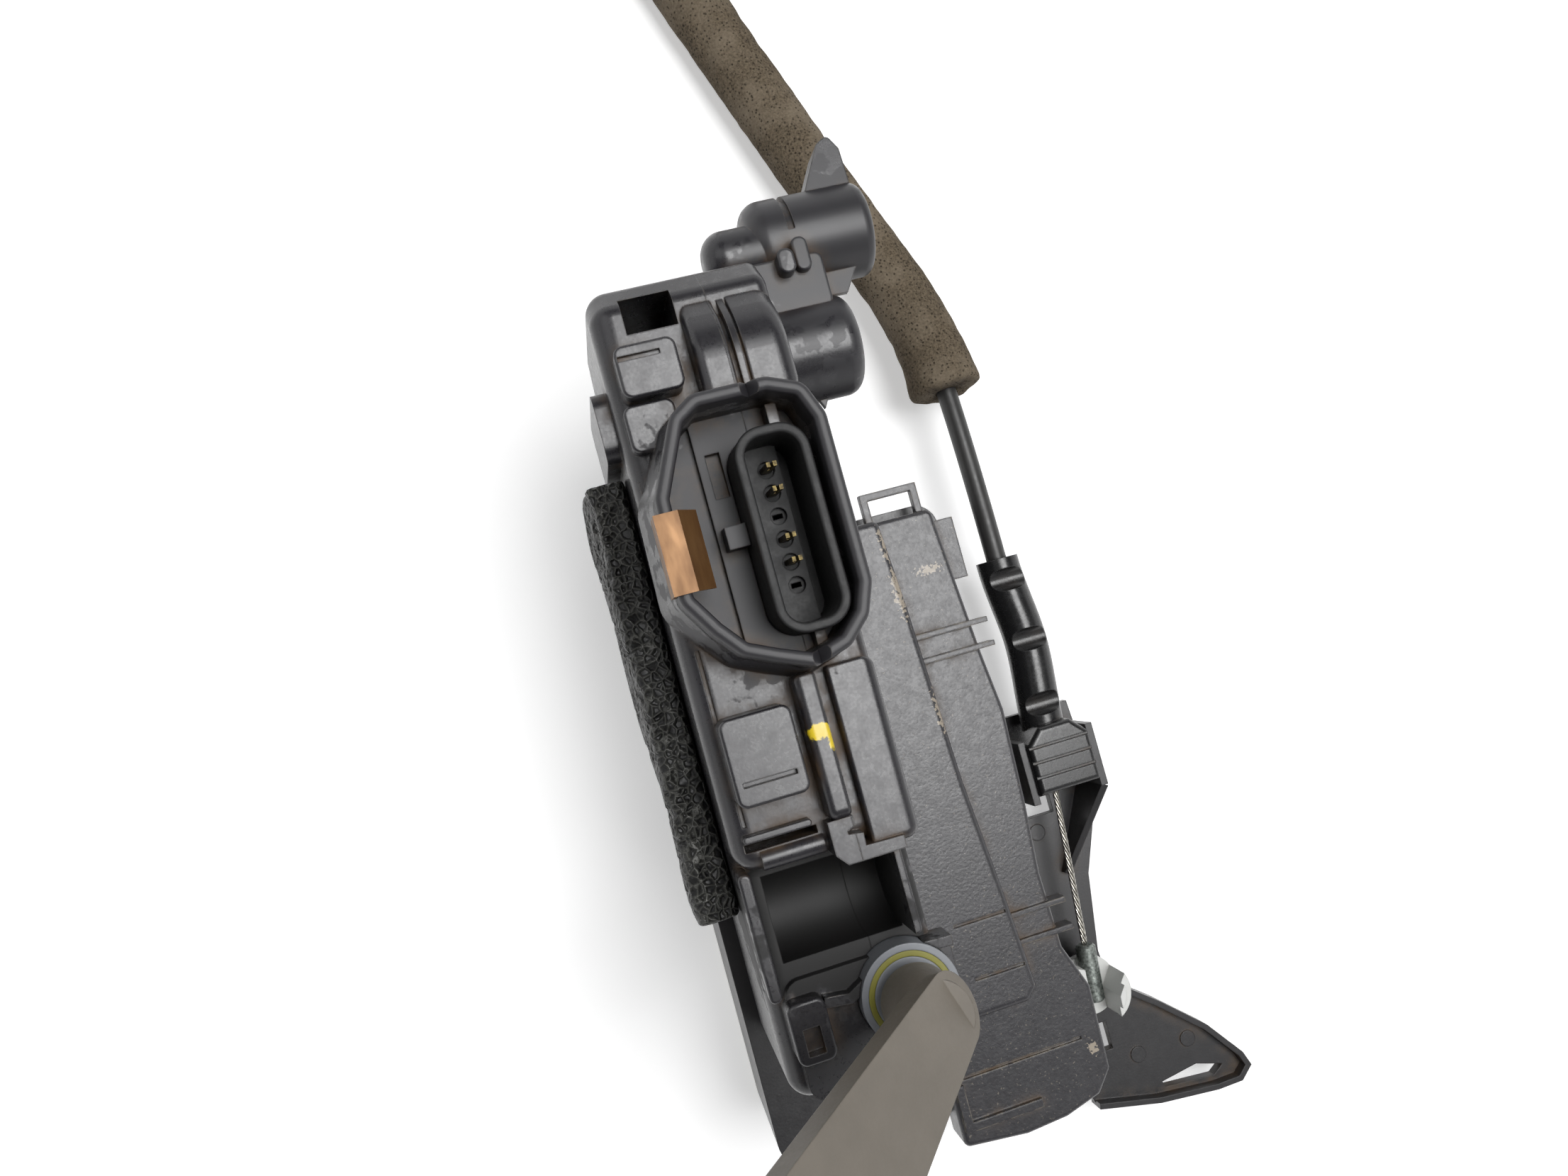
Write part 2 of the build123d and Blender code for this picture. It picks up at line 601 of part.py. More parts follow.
# Pawl: a strut beside the catch and a nose that holds its lobe, turned back by its lift
pawl_tip = polar(FORK_XY, PAWL_TIP_FROM_FORK, PAWL_TIP_DEG)
pawl_knee = polar(FORK_XY, PAWL_KNEE_FROM_FORK, PAWL_KNEE_DEG)
with BuildSketch() as pawl_strut:
    with BuildLine():
        CenterArc(PAWL_XY, PAWL_R, 0, 360)
        CenterArc(pawl_knee, PAWL_KNEE_R, 0, 360)
    make_hull()
with BuildSketch() as pawl_nose:
    with BuildLine():
        CenterArc(pawl_knee, PAWL_KNEE_R, 0, 360)
        CenterArc(pawl_tip, PAWL_TIP_R, 0, 360)
    make_hull()
with BuildPart() as pawl:
    with BuildSketch(Plane.XY.offset(CATCH_Z)):
        add(pawl_strut.sketch_local)
        add(pawl_nose.sketch_local)
        with Locations(PAWL_XY):
            Circle(PAWL_PIN_R + RUNNING, mode=Mode.SUBTRACT)
    extrude(amount=CATCH_T)
pawl_lifted = pawl.part.rotate(Axis((*PAWL_XY, 0), (0, 0, 1)), -PAWL_LIFT_DEG)
write(pawl_lifted, "pawl")


def torsion_spring(centre, pin_radius):
    """Close coil round a pivot pin, above the catch."""
    radius = pin_radius + CLEAR + SPRING_WIRE / 2
    base = CATCH_Z + CATCH_T + CLEAR + SPRING_WIRE / 2
    with BuildLine() as coil:
        Helix(SPRING_PITCH, SPRING_H, radius, center=(*centre, base))
    with BuildSketch(Plane(coil.line @ 0, z_dir=coil.line % 0)) as section:
        Circle(SPRING_WIRE / 2)
    sweep(section.sketch, path=coil.line, is_frenet=True)


with BuildPart() as fork_spring:
    torsion_spring(FORK_XY, FORK_PIN_R)
write(fork_spring.part, "fork_spring")

with BuildPart() as pawl_spring:
    torsion_spring(PAWL_XY, PAWL_PIN_R)
write(pawl_spring.part, "pawl_spring")

# Rubber stop at the closed end of the mouth, above the catch
with BuildPart() as striker_bumper:
    with BuildSketch(Plane.XY.offset(CATCH_ROOF_Z + TOUCH)):
        with Locations((MOUTH_END - MOUTH_W / 2, MOUTH_Y)):
            Circle(MOUTH_W / 2 - TOUCH)
        with Locations((MOUTH_END - MOUTH_W / 2 - BUMPER_T, MOUTH_Y)):
            Circle(MOUTH_W / 2 - TOUCH, mode=Mode.SUBTRACT)
    extrude(amount=MOUTH_ROOF_Z - CATCH_ROOF_Z - 2 * TOUCH)
write(striker_bumper.part, "striker_bumper")

# White release lever: hub, arm and a cup with a flared trough for the wire's ferrule
with BuildPart() as release_lever:
    with BuildSketch(Plane.XY.offset(LEVER_Z)):
        with BuildLine():
            CenterArc(LEVER_PIVOT, LEVER_HUB_R, 0, 360)
            CenterArc(CUP_XY, LEVER_ARM_END_R, 0, 360)
        make_hull()
    extrude(amount=LEVER_T)
    with BuildSketch(Plane.XY.offset(CUP_Z)):
        with Locations(CUP_XY):
            Circle(CUP_R)
    extrude(amount=CUP_TOP_Z - CUP_Z)
    trough_floor = WIRE_Z - FERRULE_R - CLEAR
    trough_half = FERRULE_R + LEVER_ARM * (1 - LEVER_HALF) + CLEAR
    reach = CUP_R * CUP_REACH
    flare = trough_half + reach * math.tan(math.radians(CUP_FLARE_DEG))
    trough_side = WIRE_SIDE.rotate(Axis.Z, -LEVER_SWING / 2)
    with BuildSketch(Plane((*CUP_XY, trough_floor), x_dir=trough_side, z_dir=(0, 0, 1))):
        with BuildLine():
            Polyline((trough_half, 0), (flare, reach), (-flare, reach), (-trough_half, 0),
                     (-flare, -reach), (flare, -reach), close=True)
        make_face()
    extrude(amount=LEVER_Z + LEVER_T, mode=Mode.SUBTRACT)
    with BuildSketch(Plane.XY.offset(LEVER_Z)):
        with Locations(LEVER_PIVOT):
            Circle(LEVER_PIN_R + RUNNING)
    extrude(amount=LEVER_T, mode=Mode.SUBTRACT)
write(release_lever.part, "release_lever")

with BuildPart() as release_lever_pin:
    with BuildSketch(Plane.XY.offset(CATCH_ROOF_Z)):
        with Locations(LEVER_PIVOT):
            Circle(LEVER_PIN_R)
    extrude(amount=BLOCK_Z - CATCH_ROOF_Z)
write(release_lever_pin.part, "release_lever_pin")

wire_start = Vector(*WIRE_EXIT, WIRE_Z) - WIRE_DIR * WIRE_TAIL
ferrule_start = CUP_MID - WIRE_DIR * (FERRULE_BACK + FERRULE_L / 2)
with BuildPart() as release_wire:
    with BuildSketch(Plane(wire_start, z_dir=WIRE_DIR)):
        Circle(WIRE_R)
    extrude(amount=(ferrule_start - wire_start).length)
write(release_wire.part, "release_wire")

with BuildPart() as wire_ferrule:
    with BuildSketch(Plane(ferrule_start, z_dir=WIRE_DIR)):
        Circle(FERRULE_R)
    extrude(amount=FERRULE_L)
    chamfer(wire_ferrule.edges().filter_by(GeomType.CIRCLE), FERRULE_CHAMFER)
write(wire_ferrule.part, "wire_ferrule")

# Cable end fitting: bowed notched body and the bevelled anchor block that the bracket's ears hold
with BuildPart() as cable_end_fitting:
    body_start = (FITTING_X, FITTING_TOP_Y, WIRE_Z)
    body_end = (FITTING_X, ANCHOR_Y[1] - ANCHOR_BEVEL, WIRE_Z)
    body_middle = (FITTING_X + FITTING_BOW, (FITTING_TOP_Y + ANCHOR_Y[1]) / 2, WIRE_Z)
    with BuildLine():
        body_line = Spline(body_start, body_middle, body_end, tangents=[(0, -1, 0), (0, -1, 0)])
    with BuildSketch(Plane(body_start, z_dir=(0, -1, 0))):
        Circle(FITTING_R)
    sweep(path=body_line)
    with BuildSketch(Plane.XY.offset(ANCHOR_Z[0])) as anchor_outline:
        with Locations((FITTING_X, sum(ANCHOR_Y) / 2)):
            Rectangle(ANCHOR_W, ANCHOR_Y[1] - ANCHOR_Y[0])
        chamfer(anchor_outline.vertices().group_by(Axis.Y)[-1], ANCHOR_BEVEL)
    extrude(amount=ANCHOR_Z[1] - ANCHOR_Z[0])
    fillet(cable_end_fitting.faces().sort_by(Axis.Z)[-1].edges(), ANCHOR_TOP_R)
    for line_y in ANCHOR_LINE_Y:
        block_on(FITTING_X, line_y, ANCHOR_W, ANCHOR_LINE_W, ANCHOR_Z[1] - ANCHOR_LINE_W, ANCHOR_Z[1],
                 mode=Mode.SUBTRACT)
    for notch_y in NOTCH_Y:
        with Locations((FITTING_X, notch_y, WIRE_Z + FITTING_R + NOTCH_R - NOTCH_D)):
            Cylinder(NOTCH_R, 4 * FITTING_R, rotation=(0, 90, 0), mode=Mode.SUBTRACT)
    with BuildSketch(Plane(Vector(*WIRE_EXIT, WIRE_Z) + WIRE_DIR * WIRE_TAIL, z_dir=-WIRE_DIR)):
        Circle(WIRE_R + CLEAR)
    extrude(amount=2 * WIRE_TAIL + PULL + CLEAR, mode=Mode.SUBTRACT)
write(cable_end_fitting.part, "cable_end_fitting")


def corner_radii(points):
    """Bend radius of each inner corner: 0.45 of the shorter run over the tangent of half the turn."""
    radii = []
    for before, corner, after in zip(points, points[1:], points[2:]):
        run_in = Vector(*corner) - Vector(*before)
        run_out = Vector(*after) - Vector(*corner)
        half_turn = math.radians(run_in.get_angle(run_out)) / 2
        radii.append(0.45 * min(run_in.length, run_out.length) / math.tan(half_turn))
    return radii


def route_tube(points, radii, outer, bore=0):
    """Round tube along straight runs and tangent arcs."""
    with BuildLine():
        path = FilletPolyline(*points, radius=radii)
    with BuildSketch(Plane(path @ 0, z_dir=path % 0)) as section:
        Circle(outer)
        if bore:
            Circle(bore, mode=Mode.SUBTRACT)
    sweep(section.sketch, path=path)
    return path.length


ROUTE_RADII = corner_radii(ROUTE)
with BuildPart() as cable_conduit:
    conduit_length = route_tube(ROUTE, ROUTE_RADII, CORD_R)
write(cable_conduit.part, "cable_conduit")
print("cable radii", [round(radius, 1) for radius in ROUTE_RADII])
print("cable length", round(conduit_length, 1), "volume over section times length",
      round(cable_conduit.part.volume / (math.pi * CORD_R**2 * conduit_length), 4))

with BuildPart() as foam_sleeve:
    first, last = SLEEVE_RUNS
    sleeve_start = (Vector(*ROUTE[first]) + Vector(*ROUTE[first + 1])) * 0.5
    sleeve_end = (Vector(*ROUTE[last]) + Vector(*ROUTE[last + 1])) * 0.5
    sleeve_route = [sleeve_start, *[Vector(*point) for point in ROUTE[first + 1:last + 1]], sleeve_end]
    route_tube(sleeve_route, ROUTE_RADII[first:last], SLEEVE_R, SLEEVE_BORE_R)
write(foam_sleeve.part, "foam_sleeve")

HANDLE_END = Vector(*ROUTE[-1])
HANDLE_DIR = (HANDLE_END - Vector(*ROUTE[-2])).normalized()
with BuildPart() as handle_end_fitting:
    with BuildSketch(Plane(HANDLE_END, z_dir=HANDLE_DIR)):
        Circle(HANDLE_FITTING_R)
    extrude(amount=HANDLE_FITTING_L)
    with BuildSketch(Plane(HANDLE_END + HANDLE_DIR * HANDLE_FITTING_L, z_dir=-HANDLE_DIR)):
        Circle(WIRE_R + CLEAR)
    extrude(amount=HANDLE_FITTING_L - HANDLE_CRIMP_L, mode=Mode.SUBTRACT)
write(handle_end_fitting.part, "handle_end_fitting")

handle_wire_start = HANDLE_END + HANDLE_DIR * (HANDLE_CRIMP_L + CLEAR)
handle_wire_length = HANDLE_FITTING_L - HANDLE_CRIMP_L - CLEAR + HANDLE_WIRE_L
with BuildPart() as handle_wire:
    with BuildSketch(Plane(handle_wire_start, z_dir=HANDLE_DIR)):
        Circle(WIRE_R)
    extrude(amount=handle_wire_length)
write(handle_wire.part, "handle_wire")

with BuildPart() as handle_barrel:
    barrel_start = handle_wire_start + HANDLE_DIR * handle_wire_length
    with BuildSketch(Plane(barrel_start, z_dir=HANDLE_DIR)):
        Circle(BARREL_R)
    extrude(amount=BARREL_L)
write(handle_barrel.part, "handle_barrel")

# Grained back cover: an upturned tray with a raised pad, ribs and a thin frame at its top end
with BuildPart() as latch_back_cover:
    with BuildSketch(Plane.XY.offset(BLOCK_Z)) as cover_edge:
        with BuildLine():
            Polyline(*COVER_EDGE, close=True)
        make_face()
        fillet(cover_edge.vertices(), COVER_FILLET)
    extrude(amount=COVER_LOW_Z - BLOCK_Z)
    fillet(latch_back_cover.faces().sort_by(Axis.Z)[-1].edges(), LOW_EDGE_R)
    with BuildSketch(Plane.XY.offset(BLOCK_Z)) as cover_pad:
        with BuildLine():
            Polyline(*COVER_PAD, close=True)
        make_face()
        fillet(cover_pad.vertices(), COVER_FILLET)
    extrude(amount=COVER_HIGH_Z - BLOCK_Z)
    fillet(latch_back_cover.faces().sort_by(Axis.Z)[-1].edges(), COVER_FILLET)
    with BuildSketch(Plane.XY.offset(BLOCK_Z)):
        add(cover_edge.sketch_local)
        offset(amount=-WALL)
    extrude(amount=COVER_LOW_Z - BLOCK_Z - WALL, mode=Mode.SUBTRACT)
    with BuildSketch(Plane.XY.offset(BLOCK_Z)):
        add(cover_pad.sketch_local)
        offset(amount=-WALL)
    extrude(amount=COVER_HIGH_Z - BLOCK_Z - WALL, mode=Mode.SUBTRACT)
    for rib_y, (rib_left, rib_right) in zip(RIB_Y, RIB_X):
        block_on((rib_left + rib_right) / 2, rib_y, rib_right - rib_left, RIB_W,
                 COVER_LOW_Z - RIB_SINK, COVER_LOW_Z + RIB_H)
    block_on(*LEDGE[:4], BLOCK_Z, LEDGE[4])
    with BuildSketch(Plane.XY.offset(COVER_LOW_Z - RIB_SINK)):
        with BuildLine() as corner_line:
            Polyline(*CORNER_RIB)
        trace(corner_line.line, CORNER_RIB_W)
    extrude(amount=RIB_SINK + RIB_H)
    for score_x, score_y, score_l, score_z in SCORES:
        block_on(score_x, score_y, score_l, SCORE_W, score_z - SCORE_D, score_z, mode=Mode.SUBTRACT)
    with BuildSketch(Plane.XY.offset(FRAME_Z[0])):
        frame_x = sum(FRAME_X) / 2
        frame_w = FRAME_X[1] - FRAME_X[0]
        with Locations((frame_x, FRAME_Y)):
            Rectangle(frame_w, FRAME_Y - FRAME_ROOT_Y, align=(Align.CENTER, Align.MAX))
        with Locations((frame_x, FRAME_Y - FRAME_BAR)):
            Rectangle(frame_w - 2 * FRAME_BAR, FRAME_Y - FRAME_BAR - COVER_TOP_Y,
                      align=(Align.CENTER, Align.MAX), mode=Mode.SUBTRACT)
    extrude(amount=FRAME_Z[1] - FRAME_Z[0])
write(latch_back_cover.part, "latch_back_cover")


def plug_opening():
    """Outline of the plug socket, with its seat clearance."""
    with Locations(SOCKET_XY):
        RectangleRounded(SOCKET_W + 2 * TOUCH, SOCKET_L + 2 * TOUCH, SOCKET_R + TOUCH)


# Hollow of the case, which leaves walls and floors round the recess, the trough and the pocket
PITS = (END_RECESS, TROUGH, POCKET)
with BuildPart() as case_hollow:
    with BuildSketch(Plane.YZ.offset(CASE_IN_LEFT)):
        with BuildSketch(mode=Mode.PRIVATE) as hollow_outline:
            with BuildLine():
                Polyline(*CASE_OUTLINE, close=True)
            make_face()
            fillet(hollow_outline.vertices(), CASE_R)
        add(hollow_outline.sketch_local)
        offset(amount=-WALL)
    extrude(amount=CASE_IN_RIGHT - CASE_IN_LEFT)
    for pit_x, pit_y, pit_w, pit_l, pit_floor in PITS:
        block_on(pit_x, pit_y, pit_w + 2 * WALL, pit_l + 2 * WALL, pit_floor - WALL, SPINE_Z,
                 mode=Mode.SUBTRACT)

# Rounded details of the spine, each made by itself
spine_blocks = [rounded_block(*detail[:4], SPINE_Z - SINK, detail[4]) for detail in SPINE_BLOCKS]
tail_block = rounded_block(*TAIL_BLOCK[:4], TAIL_Z - SINK, TAIL_BLOCK[4])
left_wall = rounded_block(*LEFT_WALL[:4], TAIL_Z - SINK, LEFT_WALL[4])
pocket_wall = rounded_block(*POCKET_WALL[:4], POCKET[4], POCKET_WALL[4])
spine_bars = []
for slice_left, slice_right, drop, left_round, right_round in SHOULDER_SLICES:
    shoulder_profile = [(SHOULDER_START_Y, SHOULDER_END[1]), (SHOULDER_START_Y, SHOULDER_Z - drop),
                        (SHOULDER_BEND_Y - drop, SHOULDER_Z - drop),
                        (SHOULDER_END[0] - drop, SHOULDER_END[1])]
    spine_bars.append(spine_bar(shoulder_profile, [DETAIL_TOP_R, SHOULDER_BEND_R], slice_left, slice_right,
                                left_round, right_round))
for (slice_left, slice_right, slice_top, left_round, right_round), end_y in zip(RIDGE_SLICES, RIDGE_END_Y):
    ridge_profile = [(RIDGE_Y[1], SPINE_Z - SINK), (RIDGE_Y[1], slice_top), (end_y, slice_top),
                     (end_y, SPINE_Z - SINK)]
    spine_bars.append(spine_bar(ridge_profile, [DETAIL_TOP_R, DETAIL_R], slice_left, slice_right,
                                left_round, right_round))

# Whole actuator case, which is parted into its two shells afterwards
with BuildPart() as case:
    with BuildSketch(Plane.YZ.offset(CASE_LEFT)) as case_outline:
        with BuildLine():
            Polyline(*CASE_OUTLINE, close=True)
        make_face()
        fillet(case_outline.vertices(), CASE_R)
    extrude(amount=CASE_RIGHT - CASE_LEFT)
    fillet(case.edges().filter_by(Axis.Y).group_by(Axis.Z)[-1].sort_by(Axis.X)[0], SPINE_LEFT_R)
    fillet(case.edges().filter_by(Axis.Y).group_by(Axis.Z)[-1].sort_by(Axis.X)[-1], SPINE_RIGHT_R)
    with BuildSketch(Plane.XY.offset(TAIL_PLATE[4])):
        with Locations(((TAIL_PLATE[0] + TAIL_PLATE[1]) / 2, (TAIL_PLATE[2] + TAIL_PLATE[3]) / 2)):
            RectangleRounded(TAIL_PLATE[1] - TAIL_PLATE[0], TAIL_PLATE[3] - TAIL_PLATE[2], TAIL_PLATE_R)
    extrude(amount=TAIL_PLATE[5] - TAIL_PLATE[4])
    add(case_hollow.part, mode=Mode.SUBTRACT)
    for detail in (*spine_blocks, *spine_bars, tail_block, left_wall, pocket_wall):
        add(detail)
    with BuildSketch(Plane.XY.offset(HOOK_Z[0])):
        with BuildLine():
            Polyline(*HOOK, close=True)
        make_face()
    extrude(amount=HOOK_Z[1] - HOOK_Z[0])
    with BuildSketch(Plane.XY.offset(TAIL_PLATE[4])):
        with BuildLine() as rim_path:
            Polyline(*PLATE_RIM)
        trace(rim_path.line, PLATE_RIM_W)
    extrude(amount=PLATE_RIM_Z - TAIL_PLATE[4])
    for pit_x, pit_y, pit_w, pit_l, pit_floor in (END_RECESS, TROUGH):
        block_on(pit_x, pit_y, pit_w, pit_l, pit_floor, SPINE_Z + SINK, mode=Mode.SUBTRACT)
    pipe_r = POCKET[3] / 2
    block_on(*POCKET[:4], POCKET[4] + pipe_r, SPINE_Z, mode=Mode.SUBTRACT)
    with Locations((*POCKET[:2], POCKET[4] + pipe_r)):
        Cylinder(pipe_r, POCKET[2], rotation=(0, 90, 0), mode=Mode.SUBTRACT)
    for slot, top, depth in ((TAIL_SLOT, TAIL_BLOCK[4], TAIL_SLOT_D), (RIM_LINE, SPINE_Z, RIM_LINE_D)):
        block_on(*slot, top - depth, top, mode=Mode.SUBTRACT)
    for slot in BLOCK_SLOTS:
        block_on(*slot, SPINE_BLOCKS[0][4] - RIM_LINE_D, SPINE_BLOCKS[2][4], mode=Mode.SUBTRACT)
    with Locations((sum(CROSS_BAR_X) / 2, CROSS_BAR_Y, SPINE_Z - CROSS_BAR_R / 2)):
        Cylinder(CROSS_BAR_R, CROSS_BAR_X[1] - CROSS_BAR_X[0], rotation=(0, 90, 0))
    for cradle_y in CRADLE_Y:
        with BuildSketch(Plane.XZ.offset(-cradle_y)):
            with Locations(((CASE_IN_LEFT + CASE_IN_RIGHT) / 2, SPINE_Z - WALL / 2)):
                Rectangle(CASE_IN_RIGHT - CASE_IN_LEFT + WALL, SPINE_Z - WALL / 2 - MOTOR_Z + CRADLE_BELOW,
                          align=(Align.CENTER, Align.MAX))
            with Locations((MOTOR_X, MOTOR_Z)):
                Circle(MOTOR_R + TOUCH, mode=Mode.SUBTRACT)
        extrude(amount=-CRADLE_T)
    with BuildSketch(Plane.YZ.offset(CASE_LEFT + WALL / 2)):
        with Locations(*SCREW_YZ):
            Circle(BOSS_R)
    extrude(amount=CASE_RIGHT - CASE_LEFT - WALL)
    with BuildSketch(Plane.XY.offset(SKIRT_Z)) as shroud_outline:
        with BuildLine():
            Polyline(*SHROUD, close=True)
        make_face()
        fillet(shroud_outline.vertices(), SHROUD_R)
    extrude(amount=-(SKIRT_Z - SPINE_Z + WALL), taper=-SKIRT_DEG)
    extrude(shroud_outline.sketch, amount=RIM_Z - SKIRT_Z)
    with BuildSketch(Plane.XY.offset(SHROUD_STEP_Z)) as shroud_inside:
        add(shroud_outline.sketch_local)
        offset(amount=-RIM_WALL)
    extrude(amount=RIM_Z - SHROUD_STEP_Z, mode=Mode.SUBTRACT)
    with BuildSketch(Plane.XY.offset(SHROUD_FLOOR_Z)):
        add(shroud_inside.sketch_local)
        with Locations((SHROUD_STEP_X, 0)):
            Rectangle(CASE_RIGHT - CASE_LEFT, SOCKET_L * 2, align=(Align.MIN, Align.CENTER),
                      mode=Mode.SUBTRACT)
    extrude(amount=SHROUD_STEP_Z - SHROUD_FLOOR_Z, mode=Mode.SUBTRACT)
    fillet(case.faces().filter_by(Plane.XY).sort_by(Axis.Z)[-1].edges(), RIM_ROUND)
    with BuildSketch(Plane.XY.offset(SOCKET_BASE_Z)):
        plug_opening()
    extrude(amount=RIM_Z - SOCKET_BASE_Z, mode=Mode.SUBTRACT)
    block_on(*COLLAR_SLOT, SHROUD_FLOOR_Z, SHROUD_STEP_Z, mode=Mode.SUBTRACT)
    lug_right = SOCKET_XY[0] - SOCKET_W / 2 - TOUCH
    block_on((LUG[0] + lug_right) / 2, LUG[1], lug_right - LUG[0], LUG[2], SHROUD_FLOOR_Z, LUG[3])
    for post_end, (post_x, post_w, post_top) in zip((1, -1), END_POSTS):
        post_from = SOCKET_XY[1] + post_end * (SOCKET_L / 2 + TOUCH)
        post_l = SHROUD_POST
        block_on(post_x, post_from + post_end * post_l / 2, post_w, post_l, SHROUD_FLOOR_Z, post_top)
    with BuildSketch(Plane.XZ.offset(-SOCKET_L)):
        with BuildLine():
            Polyline((-SEAM_NOTCH_W / 2, RIM_Z), (SEAM_NOTCH_W / 2, RIM_Z), (0, RIM_Z - SEAM_NOTCH_D),
                     close=True)
        make_face()
    extrude(amount=2 * SOCKET_L, mode=Mode.SUBTRACT)
    with BuildSketch(Plane.XY.offset(BUSH_Z[0])):
        with Locations(SHAFT_XY):
            Circle(BUSH_R + TOUCH)
    extrude(amount=BUSH_Z[1] - BUSH_Z[0], mode=Mode.SUBTRACT)
    for boss_x, boss_h in ((CASE_IN_LEFT, PIVOT_BOSS_H), (CASE_IN_RIGHT, -PIVOT_BOSS_H)):
        with BuildSketch(Plane.YZ.offset(boss_x)):
            with Locations((WHEEL_Y, WHEEL_Z)):
                Circle(AXLE_R + PIVOT_BOSS_WALL)
            with Locations((LOCK_PIVOT_Y, WHEEL_Z)):
                Circle(LOCK_PIN_R + PIVOT_BOSS_WALL)
        extrude(amount=boss_h)
    with BuildSketch(Plane.YZ.offset(CASE_IN_LEFT)):
        with Locations((WHEEL_Y, WHEEL_Z)):
            Circle(AXLE_R)
        with Locations((LOCK_PIVOT_Y, WHEEL_Z)):
            Circle(LOCK_PIN_R)
    extrude(amount=CASE_IN_RIGHT - CASE_IN_LEFT, mode=Mode.SUBTRACT)
    with BuildSketch(Plane.YZ.offset(CASE_IN_LEFT)):
        with Locations(*SCREW_YZ):
            Circle(SCREW_R)
    extrude(amount=CASE_RIGHT - CASE_IN_LEFT, mode=Mode.SUBTRACT)

# Left shell: its half of the case with the bump on its left face
with BuildPart() as left_shell:
    add(case.part)
    split(bisect_by=Plane.YZ, keep=Keep.BOTTOM)
    with BuildSketch(Plane.YZ.offset(CASE_LEFT)):
        with Locations(((SIDE_BUMP[0] + SIDE_BUMP[1]) / 2, (SIDE_BUMP[2] + SIDE_BUMP[3]) / 2)):
            RectangleRounded(SIDE_BUMP[1] - SIDE_BUMP[0], SIDE_BUMP[3] - SIDE_BUMP[2], SIDE_BUMP_R)
    extrude(amount=-SIDE_BUMP[4])
write(left_shell.part, "left_shell")

# Right shell: its half of the case with the round bulges, dome, fins, web and snap clip
bulges = [round_bar(*BULGE_UP, *BULGE_UP_ROUND), round_bar(*BULGE_LOW, 0, BULGE_LOW_ROUND),
          round_bar(*DOME, DOME_ROUND, 0)]
web_blocks = [rounded_block(*detail) for detail in (WEB, *SNAPS)]
with BuildPart() as right_shell:
    add(case.part)
    split(bisect_by=Plane.YZ, keep=Keep.TOP)
    for detail in (*bulges, *web_blocks):
        add(detail)
    with BuildSketch(Plane.YZ.offset(BULGE_RING[0] - BULGE_RING[1] / 2)):
        with Locations(BULGE_UP[:2]):
            Circle(BULGE_UP[2] + BULGE_RING[2])
            Circle(BULGE_UP[2] - BULGE_RING[2], mode=Mode.SUBTRACT)
        with Locations((WEB[1], BULGE_UP[1])):
            Rectangle(2 * (BULGE_UP[0] - WEB[1]), 4 * BULGE_UP[2], mode=Mode.SUBTRACT)
    extrude(amount=BULGE_RING[1], mode=Mode.SUBTRACT)
    with BuildSketch(Plane.XY.offset(FIN_Z[0])) as fin_outline:
        with BuildLine():
            Polyline(*FIN, close=True)
        make_face()
        fillet(fin_outline.vertices(), FIN_R)
    extrude(amount=FIN_Z[1] - FIN_Z[0])
    for small_fin in SMALL_FINS:
        with BuildSketch(Plane.XY.offset(SMALL_FIN_Z[0])):
            with BuildLine():
                Polyline(*small_fin, close=True)
            make_face()
        extrude(amount=SMALL_FIN_Z[1] - SMALL_FIN_Z[0])
write(right_shell.part, "right_shell")

# Plug socket with its pin holes, and the four forked pins
pin_ys = [PIN_FIRST_Y - index * PIN_PITCH for index in range(PIN_PLACES)]
with BuildPart() as connector_socket:
    with BuildSketch(Plane.XY.offset(SOCKET_BASE_Z)):
        with Locations(SOCKET_XY):
            RectangleRounded(SOCKET_W, SOCKET_L, SOCKET_R)
    extrude(amount=SOCKET_TOP_Z - SOCKET_BASE_Z)
    with BuildSketch(Plane.XY.offset(SOCKET_STEP_Z)) as socket_inside:
        with Locations(SOCKET_XY):
            RectangleRounded(SOCKET_W - 2 * SOCKET_WALL, SOCKET_L - 2 * SOCKET_WALL,
                             SOCKET_R - SOCKET_WALL)
    extrude(amount=SOCKET_TOP_Z - SOCKET_STEP_Z, mode=Mode.SUBTRACT)
    with BuildSketch(Plane.XY.offset(SOCKET_FLOOR_Z)):
        add(socket_inside.sketch_local)
        with Locations((SOCKET_STEP_X, SOCKET_XY[1])):
            Rectangle(SOCKET_W, SOCKET_L, align=(Align.MAX, Align.CENTER), mode=Mode.SUBTRACT)
    extrude(amount=SOCKET_STEP_Z - SOCKET_FLOOR_Z, mode=Mode.SUBTRACT)
    fillet(connector_socket.faces().sort_by(Axis.Z)[-1].edges(), SOCKET_ROUND)
    with BuildSketch(Plane.XY.offset(SOCKET_STEP_Z)):
        with Locations(*[(PIN_X, pin_y) for pin_y in pin_ys]):
            Circle(PIN_RECESS_R)
    extrude(amount=-PIN_RECESS_D, mode=Mode.SUBTRACT)
    with BuildSketch(Plane.XY.offset(SOCKET_BASE_Z)):
        with Locations(*[(PIN_X, pin_y) for pin_y in pin_ys]):
            Rectangle(PIN_W, PIN_D)
    extrude(amount=SOCKET_STEP_Z - SOCKET_BASE_Z, mode=Mode.SUBTRACT)
write(connector_socket.part, "connector_socket")

